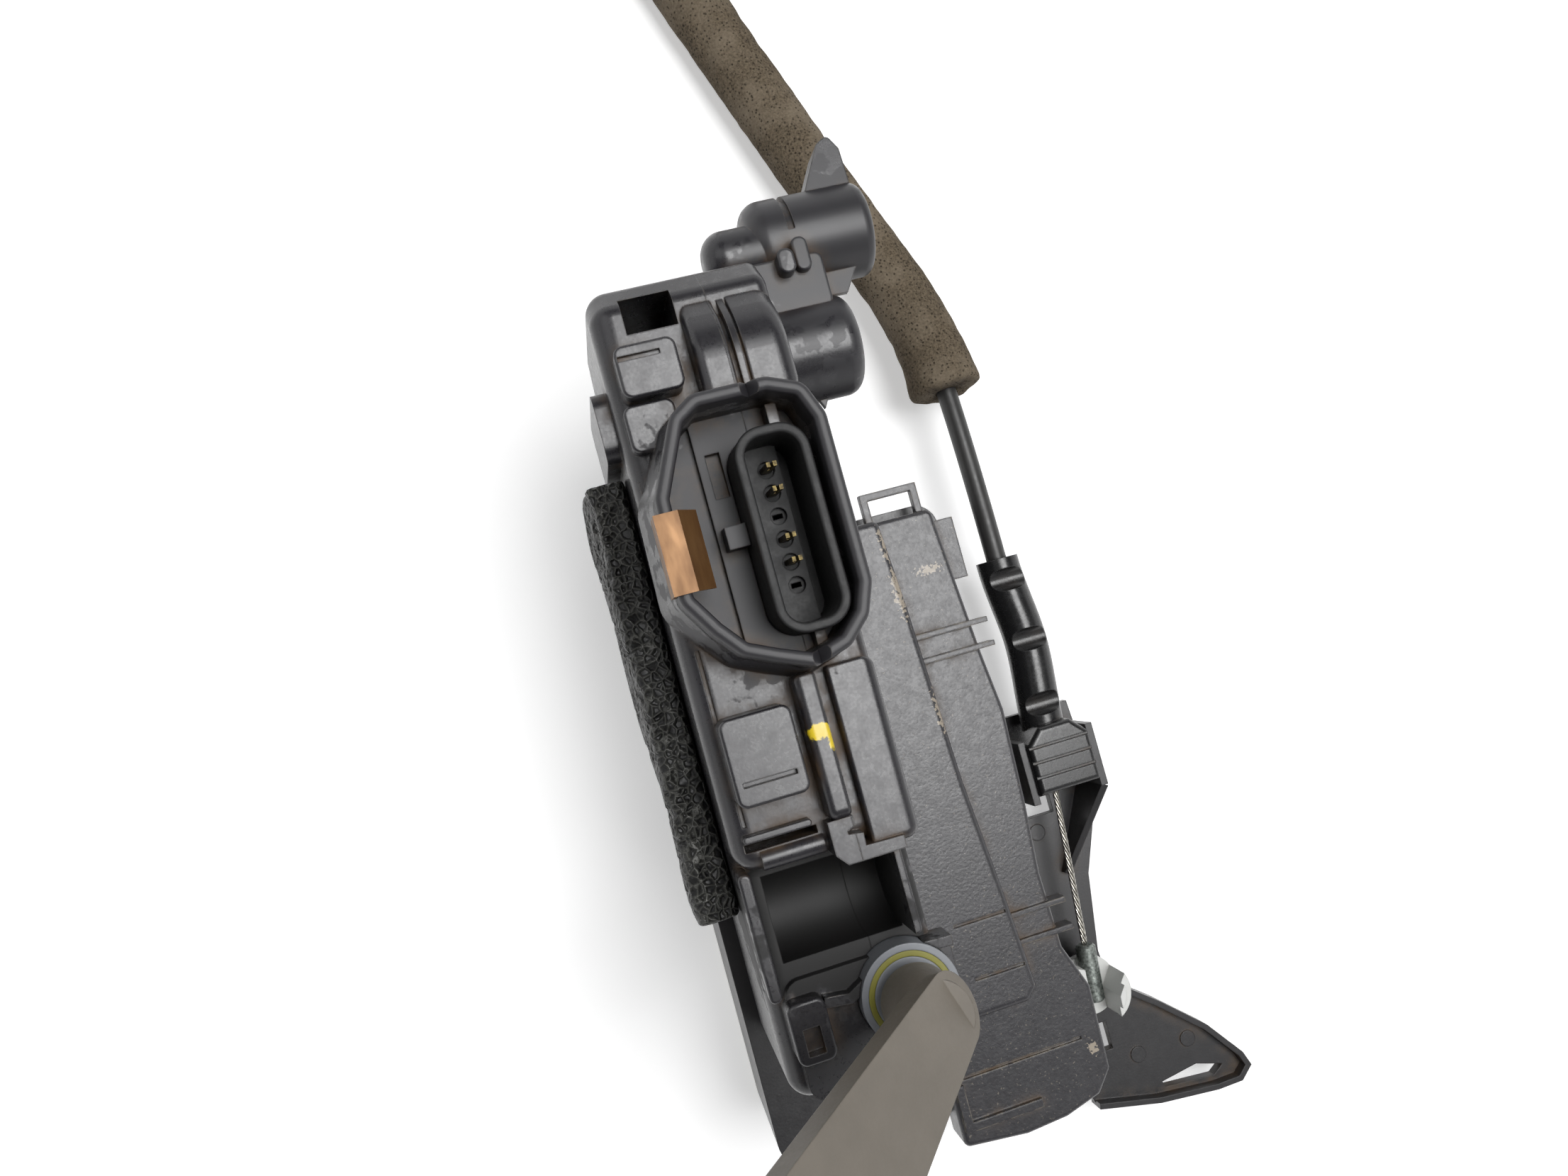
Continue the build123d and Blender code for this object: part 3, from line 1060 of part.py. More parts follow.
with BuildPart() as terminal_pins:
    pin_places = [(PIN_X, pin_ys[place]) for place in PIN_FILLED]
    with BuildSketch(Plane.XY.offset(PIN_Z[0])):
        with Locations(*pin_places):
            Rectangle(PIN_W, PIN_D)
    extrude(amount=PIN_Z[1] - PIN_Z[0])
    with BuildSketch(Plane.XY.offset(PIN_Z[1])):
        with Locations(*pin_places):
            Rectangle(PIN_FORK_W, PIN_W)
    extrude(amount=-PIN_FORK_L, mode=Mode.SUBTRACT)
write(terminal_pins.part, "terminal_pins")

# Bent copper clip over the shroud's left edge
clip_rim = min(point[0] for point in SHROUD)
with BuildPart() as connector_clip:
    with BuildSketch(Plane.XZ.offset(-CLIP_Y - CLIP_L / 2)):
        with BuildLine() as clip_line:
            gap = TOUCH + CLIP_T / 2
            clip_inner = clip_rim + RIM_WALL + CLIP_SKEW + gap
            Polyline((clip_rim - gap, RIM_Z - CLIP_OUT), (clip_rim - gap, RIM_Z + gap),
                     (clip_inner, RIM_Z + gap), (clip_inner + CLIP_IN[0], RIM_Z - CLIP_IN[1]))
        trace(clip_line.line, CLIP_T)
    extrude(amount=CLIP_L)
write(connector_clip.part, "connector_clip")

with BuildPart() as foam_seal_pad:
    pad_right = CASE_LEFT - TOUCH
    with Locations((pad_right - PAD_T / 2, sum(PAD_Y) / 2, sum(PAD_Z) / 2)):
        Box(PAD_T, PAD_Y[1] - PAD_Y[0], PAD_Z[1] - PAD_Z[0])
write(foam_seal_pad.part, "foam_seal_pad")

# Motor, worm and wheel
with BuildPart() as lock_motor:
    with BuildSketch(Plane.XZ.offset(-MOTOR_Y[1])):
        with Locations((MOTOR_X, MOTOR_Z)):
            Circle(MOTOR_R)
            Rectangle(MOTOR_FLAT, 2 * MOTOR_R, mode=Mode.INTERSECT)
    extrude(amount=MOTOR_Y[1] - MOTOR_Y[0])
    with BuildSketch(Plane.XZ.offset(-MOTOR_Y[1])):
        with Locations((MOTOR_X, MOTOR_Z)):
            Circle(MOTOR_BOSS_R)
    extrude(amount=-MOTOR_BOSS_L)
write(lock_motor.part, "lock_motor")


def gear_tooth(pitch_radius, outer, root, share):
    """Straight-sided tooth about the sketch's own X axis."""
    half = share * GEAR_PITCH / 2
    foot_half = half + (pitch_radius - root) * FLANK
    tip_half = half - (outer - pitch_radius) * FLANK
    with BuildLine() as flanks:
        Polyline((root, -foot_half), (outer, -tip_half), (outer, tip_half), (root, foot_half), close=True)
    make_face(flanks.edges())


with BuildSketch() as wheel_tooth:
    gear_tooth(WHEEL_PITCH_R, WHEEL_PITCH_R + ADDENDUM * GEAR_MODULE,
               WHEEL_PITCH_R - (DEDENDUM + TOOTH_ROOTED) * GEAR_MODULE, TOOTH_SHARE)

with BuildPart() as worm_wheel:
    wheel_plane = Plane((MOTOR_X - WHEEL_FACE / 2, WHEEL_Y, WHEEL_Z), x_dir=(0, 0, 1), z_dir=(1, 0, 0))
    with BuildSketch(wheel_plane):
        Circle(WHEEL_PITCH_R - DEDENDUM * GEAR_MODULE)
        with PolarLocations(0, WHEEL_TEETH):
            add(wheel_tooth.sketch)
        Circle(AXLE_R + RUNNING, mode=Mode.SUBTRACT)
    extrude(amount=WHEEL_FACE)
    with BuildSketch(wheel_plane.offset(WHEEL_FACE)):
        with Locations((0, CRANK_AT)):
            Circle(CRANK_R)
    extrude(amount=CRANK_H)
write(worm_wheel.part, "worm_wheel")

# Worm about its own axis: a core and one helical thread
worm_length = WORM_TURNS * GEAR_PITCH
worm_root = WORM_R - DEDENDUM * GEAR_MODULE
with BuildPart() as worm_blank:
    with BuildSketch(Plane.XY.offset(-GEAR_PITCH / 2)):
        Circle(worm_root)
    extrude(amount=worm_length + GEAR_PITCH)
    with BuildLine():
        thread = Helix(GEAR_PITCH, worm_length, worm_root)
    with BuildSketch(Plane(thread @ 0, x_dir=(1, 0, 0), z_dir=thread % 0)):
        gear_tooth(WORM_R - worm_root, WORM_R + ADDENDUM * GEAR_MODULE - worm_root,
                   -2 * TOOTH_ROOTED * GEAR_MODULE, TOOTH_SHARE)
    sweep(path=thread, is_frenet=True)

# The worm in place: its thread starts half a pitch off the wheel's middle tooth, facing the wheel
with BuildPart() as motor_worm:
    worm_start = (MOTOR_X, WHEEL_Y + worm_length / 2, MOTOR_Z)
    with Locations(Plane(worm_start, x_dir=(0, 0, -1), z_dir=(0, -1, 0))):
        add(worm_blank.part)
    with BuildSketch(Plane((MOTOR_X, MOTOR_Y[0] - TOUCH, MOTOR_Z), z_dir=(0, -1, 0))):
        Circle(WORM_SHAFT_R)
    extrude(amount=MOTOR_Y[0] - TOUCH - WHEEL_Y)
write(motor_worm.part, "motor_worm")

with BuildPart() as wheel_axle:
    with BuildSketch(Plane.YZ.offset(CASE_IN_LEFT)):
        with Locations((WHEEL_Y, WHEEL_Z)):
            Circle(AXLE_R)
    extrude(amount=CASE_IN_RIGHT - CASE_IN_LEFT)
write(wheel_axle.part, "wheel_axle")

# Lock lever: pivots on its own pin and is swung by the wheel's crank pin in its slot
with BuildPart() as lock_lever:
    lever_left = MOTOR_X + WHEEL_FACE / 2 + LOCK_LEVER_GAP
    crank_y = WHEEL_Y - CRANK_AT
    with BuildSketch(Plane.YZ.offset(lever_left)):
        with BuildLine():
            CenterArc((LOCK_PIVOT_Y, WHEEL_Z), LOCK_PIN_R + LOCK_LEVER_WALL, 0, 360)
            CenterArc((crank_y + LOCK_TIP, WHEEL_Z), CRANK_R + LOCK_LEVER_WALL, 0, 360)
        make_hull()
        with Locations((LOCK_PIVOT_Y, WHEEL_Z)):
            Circle(LOCK_PIN_R + RUNNING, mode=Mode.SUBTRACT)
        with Locations((crank_y, WHEEL_Z)):
            Rectangle(LOCK_SLOT_L, 2 * (CRANK_R + LOCK_SLOT_EASE), mode=Mode.SUBTRACT)
    extrude(amount=LOCK_LEVER_T)
write(lock_lever.part, "lock_lever")

with BuildPart() as lock_lever_pin:
    with BuildSketch(Plane.YZ.offset(CASE_IN_LEFT)):
        with Locations((LOCK_PIVOT_Y, WHEEL_Z)):
            Circle(LOCK_PIN_R)
    extrude(amount=CASE_IN_RIGHT - CASE_IN_LEFT)
write(lock_lever_pin.part, "lock_lever_pin")

with BuildPart() as lock_switch:
    with Locations((CASE_IN_RIGHT - TOUCH - SWITCH[4] / 2, SWITCH[0], SWITCH[1])):
        Box(SWITCH[4], SWITCH[2], SWITCH[3])
write(lock_switch.part, "lock_switch")

# Bush, seal and shaft of the outside lever
with BuildPart() as shaft_bush:
    with BuildSketch(Plane.XY.offset(BUSH_Z[0])):
        with Locations(SHAFT_XY):
            Circle(BUSH_R)
            Circle(SHAFT_R + RUNNING, mode=Mode.SUBTRACT)
    extrude(amount=BUSH_Z[1] - BUSH_Z[0])
    with BuildSketch(Plane.XY.offset(BUSH_Z[1])):
        with Locations(SHAFT_XY):
            Circle(SEAL_R)
            Circle(SEAL_R - SEAL_W, mode=Mode.SUBTRACT)
    extrude(amount=-SEAL_W, mode=Mode.SUBTRACT)
write(shaft_bush.part, "shaft_bush")

with BuildPart() as shaft_seal:
    with BuildSketch(Plane.XY.offset(BUSH_Z[1] - SEAL_W)):
        with Locations(SHAFT_XY):
            Circle(SEAL_R - TOUCH / 2)
            Circle(SEAL_R - SEAL_W + TOUCH / 2, mode=Mode.SUBTRACT)
    extrude(amount=SEAL_W)
write(shaft_seal.part, "shaft_seal")

with BuildPart() as lever_shaft:
    with BuildSketch(Plane.XY.offset(SHAFT_Z[0])):
        with Locations(SHAFT_XY):
            Circle(SHAFT_R)
    extrude(amount=SHAFT_Z[1] - SHAFT_Z[0])
write(lever_shaft.part, "lever_shaft")

# Outside lever: round hub and a paddle arm that rises from it
with BuildPart() as outside_lever:
    with BuildSketch(Plane.XY.offset(LEVER_HUB[1])):
        with Locations(SHAFT_XY):
            Circle(LEVER_HUB[0])
    extrude(amount=LEVER_HUB[2] - LEVER_HUB[1])
    hub_top = Vector(*SHAFT_XY, LEVER_HUB[2] - ARM_SINK)
    arm_dir = Vector(*ARM_END) - hub_top
    across = Vector(0, 0, 1).cross(arm_dir).normalized()
    with BuildSketch(Plane(hub_top, x_dir=arm_dir, z_dir=arm_dir.cross(across))):
        with BuildLine():
            CenterArc((0, 0), ARM_ROOT_R, 0, 360)
            CenterArc((arm_dir.length, 0), ARM_END_R, 0, 360)
        make_hull()
        with Locations((arm_dir.length, 0)):
            Circle(ARM_EYE_R, mode=Mode.SUBTRACT)
    extrude(amount=ARM_T)
    with BuildSketch(Plane.XY.offset(LEVER_HUB[1])):
        with Locations(SHAFT_XY):
            Circle(SHAFT_R)
    extrude(amount=SHAFT_Z[1] - LEVER_HUB[1], mode=Mode.SUBTRACT)
write(outside_lever.part, "outside_lever")

# Screws that hold the right shell to the left one
with BuildPart() as case_screws:
    with BuildSketch(Plane.YZ.offset(CASE_RIGHT)):
        with Locations(*SCREW_YZ):
            Circle(SCREW_HEAD_R)
    extrude(amount=SCREW_HEAD_H)
    with BuildSketch(Plane.YZ.offset(CASE_IN_LEFT)):
        with Locations(*SCREW_YZ):
            Circle(SCREW_R)
    extrude(amount=CASE_RIGHT - CASE_IN_LEFT)
write(case_screws.part, "case_screws")
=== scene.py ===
import bpy
import numpy as np
from bpy.props import FloatProperty, FloatVectorProperty, IntProperty, PointerProperty
from mathutils import Matrix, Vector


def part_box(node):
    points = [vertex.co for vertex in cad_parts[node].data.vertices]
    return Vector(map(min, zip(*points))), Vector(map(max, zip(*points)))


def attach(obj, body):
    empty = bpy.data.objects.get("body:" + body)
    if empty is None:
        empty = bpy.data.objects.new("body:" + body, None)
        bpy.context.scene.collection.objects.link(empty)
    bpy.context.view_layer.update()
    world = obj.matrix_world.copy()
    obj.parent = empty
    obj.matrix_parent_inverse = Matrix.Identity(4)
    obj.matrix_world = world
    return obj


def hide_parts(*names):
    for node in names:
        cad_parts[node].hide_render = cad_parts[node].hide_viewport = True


bl_info = {
    "name": "Door latch actuator looks",
    "version": (1, 0, 0),
    "blender": (4, 5, 0),
    "location": "View3D > Sidebar > Latch",
    "description": "Cable, foams, stranded wire, paint mark, finishes and stage of a door latch actuator",
    "category": "Object",
}

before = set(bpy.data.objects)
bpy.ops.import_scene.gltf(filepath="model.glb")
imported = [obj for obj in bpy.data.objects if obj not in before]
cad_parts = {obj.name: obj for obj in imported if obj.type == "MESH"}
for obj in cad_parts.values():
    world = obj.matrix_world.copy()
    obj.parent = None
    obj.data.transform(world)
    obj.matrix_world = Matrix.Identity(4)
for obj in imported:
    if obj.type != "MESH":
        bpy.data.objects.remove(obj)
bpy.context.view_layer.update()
MM = 0.001

# Route of the release cable from its end fitting to the handle end, in metres
CABLE_ROUTE = np.array([
    (61.6, -12.0, 19.0), (61.6, 12.0, 19.0), (61.6, 45.0, 15.0), (51.8, 73.5, 11.6), (42.3, 101.0, 9.2),
    (31.5, 131.0, 8.0), (21.0, 161.0, 7.8), (14.0, 190.5, 7.4), (11.0, 219.0, 6.2), (11.8, 244.0, 5.2),
]) * MM
SLEEVE_RUNS = (1, 6)     # the sleeve begins and ends half way along these runs
WIRE_FROM = np.array((60.662, -63.011, 19.0)) * MM
WIRE_TO = np.array((57.181, -102.739, 19.0)) * MM
# Camera of the photograph: its right, upward and backward directions, and its place in metres
CAMERA_AXES = ((0.9526, -0.2635, 0.152), (0.2553, 0.9642, 0.0716), (-0.1654, -0.0294, 0.9858))
CAMERA_PLACE = (-0.0326, -0.01343, 0.28139)
# Name, place, aim, size in metres and power in watts of each lamp
LAMPS = [("top_softbox", (0.21, 0.06, 0.95), (0.02, -0.01, 0.08), (0.62, 0.44), 7.8),
         ("key_softbox", (-0.5, 0.35, 0.75), (0.0, -0.02, 0.05), (0.6, 0.6), 1.2),
         ("fill_softbox", (0.6, -0.5, 0.7), (0.02, -0.03, 0.05), (0.7, 0.7), 0.8)]
DRY_MUD = "#5e4a33"
# Middle and half size of the spots on the case and the cover, in millimetres
PAINT_DABS = [((-1.6, -31.6, 92.0), (2.2, 1.5, 4.0)), ((0.8, -33.2, 92.0), (1.8, 2.4, 4.0))]
# Pocket in the case, tinted near black as painted shade inside it: middle and half size in millimetres
POCKET_PAINTED_SHADE = (-5.0, -64.0, 71.0), (20.0, 18.0, 18.0)
# Dull places with their least roughness: inside and rim of the plug's shroud, the bulges, the pocket
DULL_PLACES = [((-4.0, 1.5, 91.0), (18.0, 28.0, 9.0), 0.52), ((-2.0, 1.0, 105.0), (26.0, 34.0, 9.0), 0.5),
               ((26.0, 47.0, 64.0), (22.0, 28.0, 14.0), 0.42),
               ((-5.0, -64.0, 71.0), (21.0, 20.0, 20.0), 0.65)]
SCUFFS = [((29.4, -12.6, 48.0), (1.1, 4.6, 1.6)), ((29.0, -3.0, 48.0), (0.9, 3.0, 1.6)),
          ((38.4, -10.4, 42.2), (2.4, 0.9, 1.6)), ((31.2, -39.0, 48.0), (1.0, 4.0, 1.6)),
          ((45.0, -115.8, 41.8), (0.9, 1.2, 1.6))]


def linear(code):
    """sRGB hex code as linear red, green, blue and alpha."""
    parts = np.array([int(code[i:i + 2], 16) for i in (1, 3, 5)]) / 255
    low, high = parts / 12.92, ((parts + 0.055) / 1.055) ** 2.4
    return (*np.where(parts <= 0.04045, low, high).tolist(), 1.0)


def add_node(tree, kind, feeds=None, **settings):
    """Adds one node: settings are its fields, feeds gives inputs a value or another node's output."""
    made = tree.nodes.new(kind)
    for name, value in settings.items():
        setattr(made, name, value)
    for name, value in (feeds or {}).items():
        if isinstance(value, bpy.types.NodeSocket):
            tree.links.new(value, made.inputs[name])
        else:
            made.inputs[name].default_value = value
    return made


def start_material(name, values):
    """Empty material with a Principled shader that has the given constant values."""
    material = bpy.data.materials.new(name)
    material.use_nodes = True
    tree = material.node_tree
    shader = tree.nodes["Principled BSDF"]
    for socket, value in values.items():
        shader.inputs[socket].default_value = value
    return material, tree, shader


def seen_rays(tree):
    """One for rays that the camera, a reflection or glass sends, and zero for light on dull surfaces."""
    path = add_node(tree, "ShaderNodeLightPath").outputs
    seen = add_node(tree, "ShaderNodeMath", {0: path["Is Camera Ray"], 1: path["Is Glossy Ray"]},
                    operation="MAXIMUM")
    return add_node(tree, "ShaderNodeMath", {0: seen.outputs[0], 1: path["Is Transmission Ray"]},
                    operation="MAXIMUM").outputs[0]


def per_mm(size):
    """Texture scale at which one pattern cell is this many millimetres."""
    return 1 / (size * MM)


def edge_wear(tree, rounded, rub, wear):
    """Share of rubbed skin at a point: where the rounded normal leaves the flat one, in broken patches."""
    flat = add_node(tree, "ShaderNodeNewGeometry").outputs["Normal"]
    turned = add_node(tree, "ShaderNodeVectorMath", {0: rounded, 1: flat}, operation="DOT_PRODUCT")
    edge = add_node(tree, "ShaderNodeMapRange", {"Value": turned.outputs["Value"], "From Min": 0.98,
                                                 "From Max": 0.7, "To Min": 0.0, "To Max": 1.0})
    patchy = add_node(tree, "ShaderNodeMapRange", {"Value": rub, "From Min": 0.42, "From Max": 0.62,
                                                   "To Min": 0.0, "To Max": wear})
    return add_node(tree, "ShaderNodeMath", {0: edge.outputs[0], 1: patchy.outputs[0]},
                    operation="MULTIPLY").outputs[0]


def crease_dirt(tree, place, dirt):
    """Share of dirt at a point: inner corners of about three millimetres, in patches a centimetre wide."""
    hollow = add_node(tree, "ShaderNodeAmbientOcclusion", {"Distance": 3.2 * MM}, samples=4,
                      only_local=True)
    deep = add_node(tree, "ShaderNodeMapRange", {"Value": hollow.outputs["AO"], "From Min": 0.92,
                                                 "From Max": 0.5, "To Min": 0.0, "To Max": 1.0})
    cloud = add_node(tree, "ShaderNodeTexNoise", {"Vector": place, "Scale": per_mm(10), "Detail": 6.0,
                                                  "Roughness": 0.65})
    patch = add_node(tree, "ShaderNodeMapRange", {"Value": cloud.outputs["Fac"], "From Min": 0.44,
                                                  "From Max": 0.62, "To Min": 0.0, "To Max": dirt})
    return add_node(tree, "ShaderNodeMath", {0: deep.outputs[0], 1: patch.outputs[0]},
                    operation="MULTIPLY").outputs[0]


def moulded_plastic(name, dark, light, roughness, grain_mm, grain_depth, worn="#6f6c69", wear=0.35,
                    soft_edge=0.35, specks=0.0, dirt=0.0):
    """Moulded plastic: a satin skin, slightly mottled by flow and finely grained, with paler rubbed edges,
    brown dirt in its inner corners and, where it is worn, scattered pale specks."""
    material, tree, shader = start_material(name, {"IOR": 1.58})
    place = add_node(tree, "ShaderNodeTexCoord").outputs["Object"]
    flow = add_node(tree, "ShaderNodeTexNoise", {"Vector": place, "Scale": per_mm(9), "Detail": 4.0})
    tint = add_node(tree, "ShaderNodeMix", {0: flow.outputs["Fac"], 6: linear(dark), 7: linear(light)},
                    data_type="RGBA")
    rounded = add_node(tree, "ShaderNodeBevel", {"Radius": soft_edge * MM}, samples=4).outputs[0]
    rub = add_node(tree, "ShaderNodeTexNoise", {"Vector": place, "Scale": per_mm(2.2),
                                                "Detail": 5.0}).outputs["Fac"]
    fine = add_node(tree, "ShaderNodeTexNoise", {"Vector": place, "Scale": per_mm(0.55), "Detail": 2.0})
    speck = add_node(tree, "ShaderNodeMapRange", {"Value": fine.outputs["Fac"], "From Min": 0.66,
                                                  "From Max": 0.74, "To Min": 0.0, "To Max": specks})
    pale = add_node(tree, "ShaderNodeMath", {0: edge_wear(tree, rounded, rub, wear), 1: speck.outputs[0]},
                    operation="MAXIMUM")
    clean = add_node(tree, "ShaderNodeMix", {0: pale.outputs[0], 6: tint.outputs[2], 7: linear(worn)},
                     data_type="RGBA")
    soil = crease_dirt(tree, place, dirt)
    colour = add_node(tree, "ShaderNodeMix", {0: soil, 6: clean.outputs[2], 7: linear(DRY_MUD)},
                      data_type="RGBA")
    grain = add_node(tree, "ShaderNodeTexNoise", {"Vector": place, "Scale": per_mm(grain_mm),
                                                  "Detail": 3.0})
    bump = add_node(tree, "ShaderNodeBump", {"Strength": 0.6, "Distance": grain_depth * MM,
                                             "Height": grain.outputs["Fac"], "Normal": rounded})
    mixed = add_node(tree, "ShaderNodeMath", {0: rub, 1: grain.outputs["Fac"]}, operation="ADD")
    sheen = add_node(tree, "ShaderNodeMapRange", {"Value": mixed.outputs[0], "From Min": 0.75,
                                                  "From Max": 1.25, "To Min": roughness - 0.05,
                                                  "To Max": roughness + 0.05})
    dull = add_node(tree, "ShaderNodeMath", {0: soil, 1: 0.5, 2: sheen.outputs[0]},
                    operation="MULTIPLY_ADD")
    tree.links.new(colour.outputs[2], shader.inputs["Base Color"])
    tree.links.new(dull.outputs[0], shader.inputs["Roughness"])
    tree.links.new(bump.outputs[0], shader.inputs["Normal"])
    return material


def metal(name, dark, light, roughness, fleck_mm, fleck_depth, streak=(1, 1, 1), bright=1.0):
    """Metal with flecks or drawn streaks that change its colour, gloss and height a little; a tarnished
    one is less bright."""
    material, tree, shader = start_material(name, {"Metallic": bright})
    place = add_node(tree, "ShaderNodeTexCoord").outputs["Object"]
    stretched = add_node(tree, "ShaderNodeMapping", {"Vector": place, "Scale": streak})
    flecks = add_node(tree, "ShaderNodeTexNoise", {"Vector": stretched.outputs[0],
                                                   "Scale": per_mm(fleck_mm), "Detail": 4.0})
    spread = add_node(tree, "ShaderNodeMapRange", {"Value": flecks.outputs["Fac"], "From Min": 0.35,
                                                   "From Max": 0.65})
    tint = add_node(tree, "ShaderNodeMix", {0: spread.outputs[0], 6: linear(dark), 7: linear(light)},
                    data_type="RGBA")
    gloss = add_node(tree, "ShaderNodeMapRange", {"Value": flecks.outputs["Fac"], "From Min": 0.3,
                                                  "From Max": 0.7, "To Min": roughness + 0.08,
                                                  "To Max": roughness - 0.08})
    bump = add_node(tree, "ShaderNodeBump", {"Strength": 0.5, "Distance": fleck_depth * MM,
                                             "Height": flecks.outputs["Fac"]})
    tree.links.new(tint.outputs[2], shader.inputs["Base Color"])
    tree.links.new(gloss.outputs[0], shader.inputs["Roughness"])
    tree.links.new(bump.outputs[0], shader.inputs["Normal"])
    return material


def closed_foam(name, hole, dark, light, dust, pore_mm, depth):
    """Closed-cell foam: a dull mottled skin with small dark holes, and dust lying in soft patches."""
    material, tree, shader = start_material(name, {"Specular IOR Level": 0.2, "Roughness": 0.95})
    place = add_node(tree, "ShaderNodeTexCoord").outputs["Object"]
    pores = add_node(tree, "ShaderNodeTexNoise", {"Vector": place, "Scale": per_mm(pore_mm), "Detail": 6.0,
                                                  "Roughness": 0.7})
    cells = add_node(tree, "ShaderNodeTexVoronoi", {"Vector": place, "Scale": per_mm(pore_mm * 1.7)})
    holes = add_node(tree, "ShaderNodeMapRange", {"Value": cells.outputs["Distance"], "From Min": 0.34,
                                                  "From Max": 0.16, "To Min": 0.0, "To Max": 0.75})
    dusty = add_node(tree, "ShaderNodeTexNoise", {"Vector": place, "Scale": per_mm(11), "Detail": 5.0})
    speck = add_node(tree, "ShaderNodeMapRange", {"Value": pores.outputs["Fac"], "From Min": 0.36,
                                                  "From Max": 0.62})
    skin = add_node(tree, "ShaderNodeMix", {0: speck.outputs[0], 6: linear(dark), 7: linear(light)},
                    data_type="RGBA")
    patch = add_node(tree, "ShaderNodeMapRange", {"Value": dusty.outputs["Fac"], "From Min": 0.42,
                                                  "From Max": 0.7, "To Min": 0.0, "To Max": 0.55})
    dusted = add_node(tree, "ShaderNodeMix", {0: patch.outputs[0], 6: skin.outputs[2], 7: linear(dust)},
                      data_type="RGBA")
    tint = add_node(tree, "ShaderNodeMix", {0: holes.outputs[0], 6: dusted.outputs[2], 7: linear(hole)},
                    data_type="RGBA")
    height = add_node(tree, "ShaderNodeMath", {0: pores.outputs["Fac"], 1: holes.outputs[0]},
                      operation="SUBTRACT")
    bump = add_node(tree, "ShaderNodeBump", {"Strength": 0.7, "Distance": depth * MM,
                                             "Height": height.outputs[0]})
    tree.links.new(tint.outputs[2], shader.inputs["Base Color"])
    tree.links.new(bump.outputs[0], shader.inputs["Normal"])
    return material


def open_foam(name, pit_shade, strut_highlight, cell_mm, depth):
    """Open-cell foam: pits sunk between thin struts; the pits are painted black as shade inside the cells
    and the struts painted grey as highlight where they catch the light.
    """
    material, tree, shader = start_material(name, {"Specular IOR Level": 0.5, "Roughness": 0.45})
    place = add_node(tree, "ShaderNodeTexCoord").outputs["Object"]
    wander = add_node(tree, "ShaderNodeTexNoise", {"Vector": place, "Scale": per_mm(2.0), "Detail": 3.0})
    shifted = add_node(tree, "ShaderNodeVectorMath", {0: wander.outputs["Color"], 1: (1.2 * MM,) * 3,
                                                      2: place}, operation="MULTIPLY_ADD")
    cells = add_node(tree, "ShaderNodeTexVoronoi", {"Vector": shifted.outputs[0], "Scale": per_mm(cell_mm)},
                     feature="DISTANCE_TO_EDGE")
    struts = add_node(tree, "ShaderNodeMapRange", {"Value": cells.outputs["Distance"], "From Min": 0.02,
                                                   "From Max": 0.26, "To Min": 1.0, "To Max": 0.0})
    # Painted shade in the pits and painted highlight on the struts
    tint = add_node(tree, "ShaderNodeMix", {0: struts.outputs[0], 6: linear(pit_shade), 7: linear(strut_highlight)},
                    data_type="RGBA")
    bump = add_node(tree, "ShaderNodeBump", {"Strength": 1.0, "Distance": depth * MM,
                                             "Height": struts.outputs[0]})
    tree.links.new(tint.outputs[2], shader.inputs["Base Color"])
    tree.links.new(bump.outputs[0], shader.inputs["Normal"])
    return material


def spot(tree, middle, half, fray, tatter=1.0):
    """Share of a spot at a point: an ellipsoid of this middle and half size, in millimetres, in the frame
    of the object, with an edge frayed by noise; a high tatter breaks it into patches."""
    place = add_node(tree, "ShaderNodeTexCoord").outputs["Object"]
    ragged = add_node(tree, "ShaderNodeTexNoise", {"Vector": place, "Scale": per_mm(fray), "Detail": 5.0})
    middle, half = (tuple(value * MM for value in corner) for corner in (middle, half))
    moved = add_node(tree, "ShaderNodeVectorMath", {0: place, 1: middle}, operation="SUBTRACT")
    sized = add_node(tree, "ShaderNodeVectorMath", {0: moved.outputs[0], 1: half}, operation="DIVIDE")
    reach = add_node(tree, "ShaderNodeVectorMath", {0: sized.outputs[0]}, operation="LENGTH")
    frayed = add_node(tree, "ShaderNodeMath", {0: ragged.outputs["Fac"], 1: tatter,
                                               2: reach.outputs["Value"]}, operation="MULTIPLY_ADD")
    rim = 1 + tatter / 2
    return add_node(tree, "ShaderNodeMapRange", {"Value": frayed.outputs[0], "From Min": rim,
                                                 "From Max": rim - 0.12}).outputs[0]


def tinted_spot(material, middle, half, fray, code, tatter=1.0):
    """Adds a spot of another colour to a material, such as a dab of paint, a scuff or painted shade in a
    pocket.
    """
    tree = material.node_tree
    shader = tree.nodes["Principled BSDF"]
    under = shader.inputs["Base Color"].links[0].from_socket
    share = spot(tree, middle, half, fray, tatter)
    tint = add_node(tree, "ShaderNodeMix", {0: share, 6: under, 7: linear(code)}, data_type="RGBA")
    tree.links.new(tint.outputs[2], shader.inputs["Base Color"])


def dull_spot(material, middle, half, roughness):
    """Makes a material duller inside a spot, as on the unpolished inside of a moulding."""
    tree = material.node_tree
    shader = tree.nodes["Principled BSDF"]
    under = shader.inputs["Roughness"].links[0].from_socket
    share = spot(tree, middle, half, 3.0)
    least = add_node(tree, "ShaderNodeMath", {0: share, 1: roughness}, operation="MULTIPLY")
    duller = add_node(tree, "ShaderNodeMath", {0: under, 1: least.outputs[0]}, operation="MAXIMUM")
    tree.links.new(duller.outputs[0], shader.inputs["Roughness"])


def give(material, *nodes):
    """Puts one material on CAD nodes, which keep their shape."""
    for node in nodes:
        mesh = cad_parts[node].data
        mesh.materials.clear()
        mesh.materials.append(material)


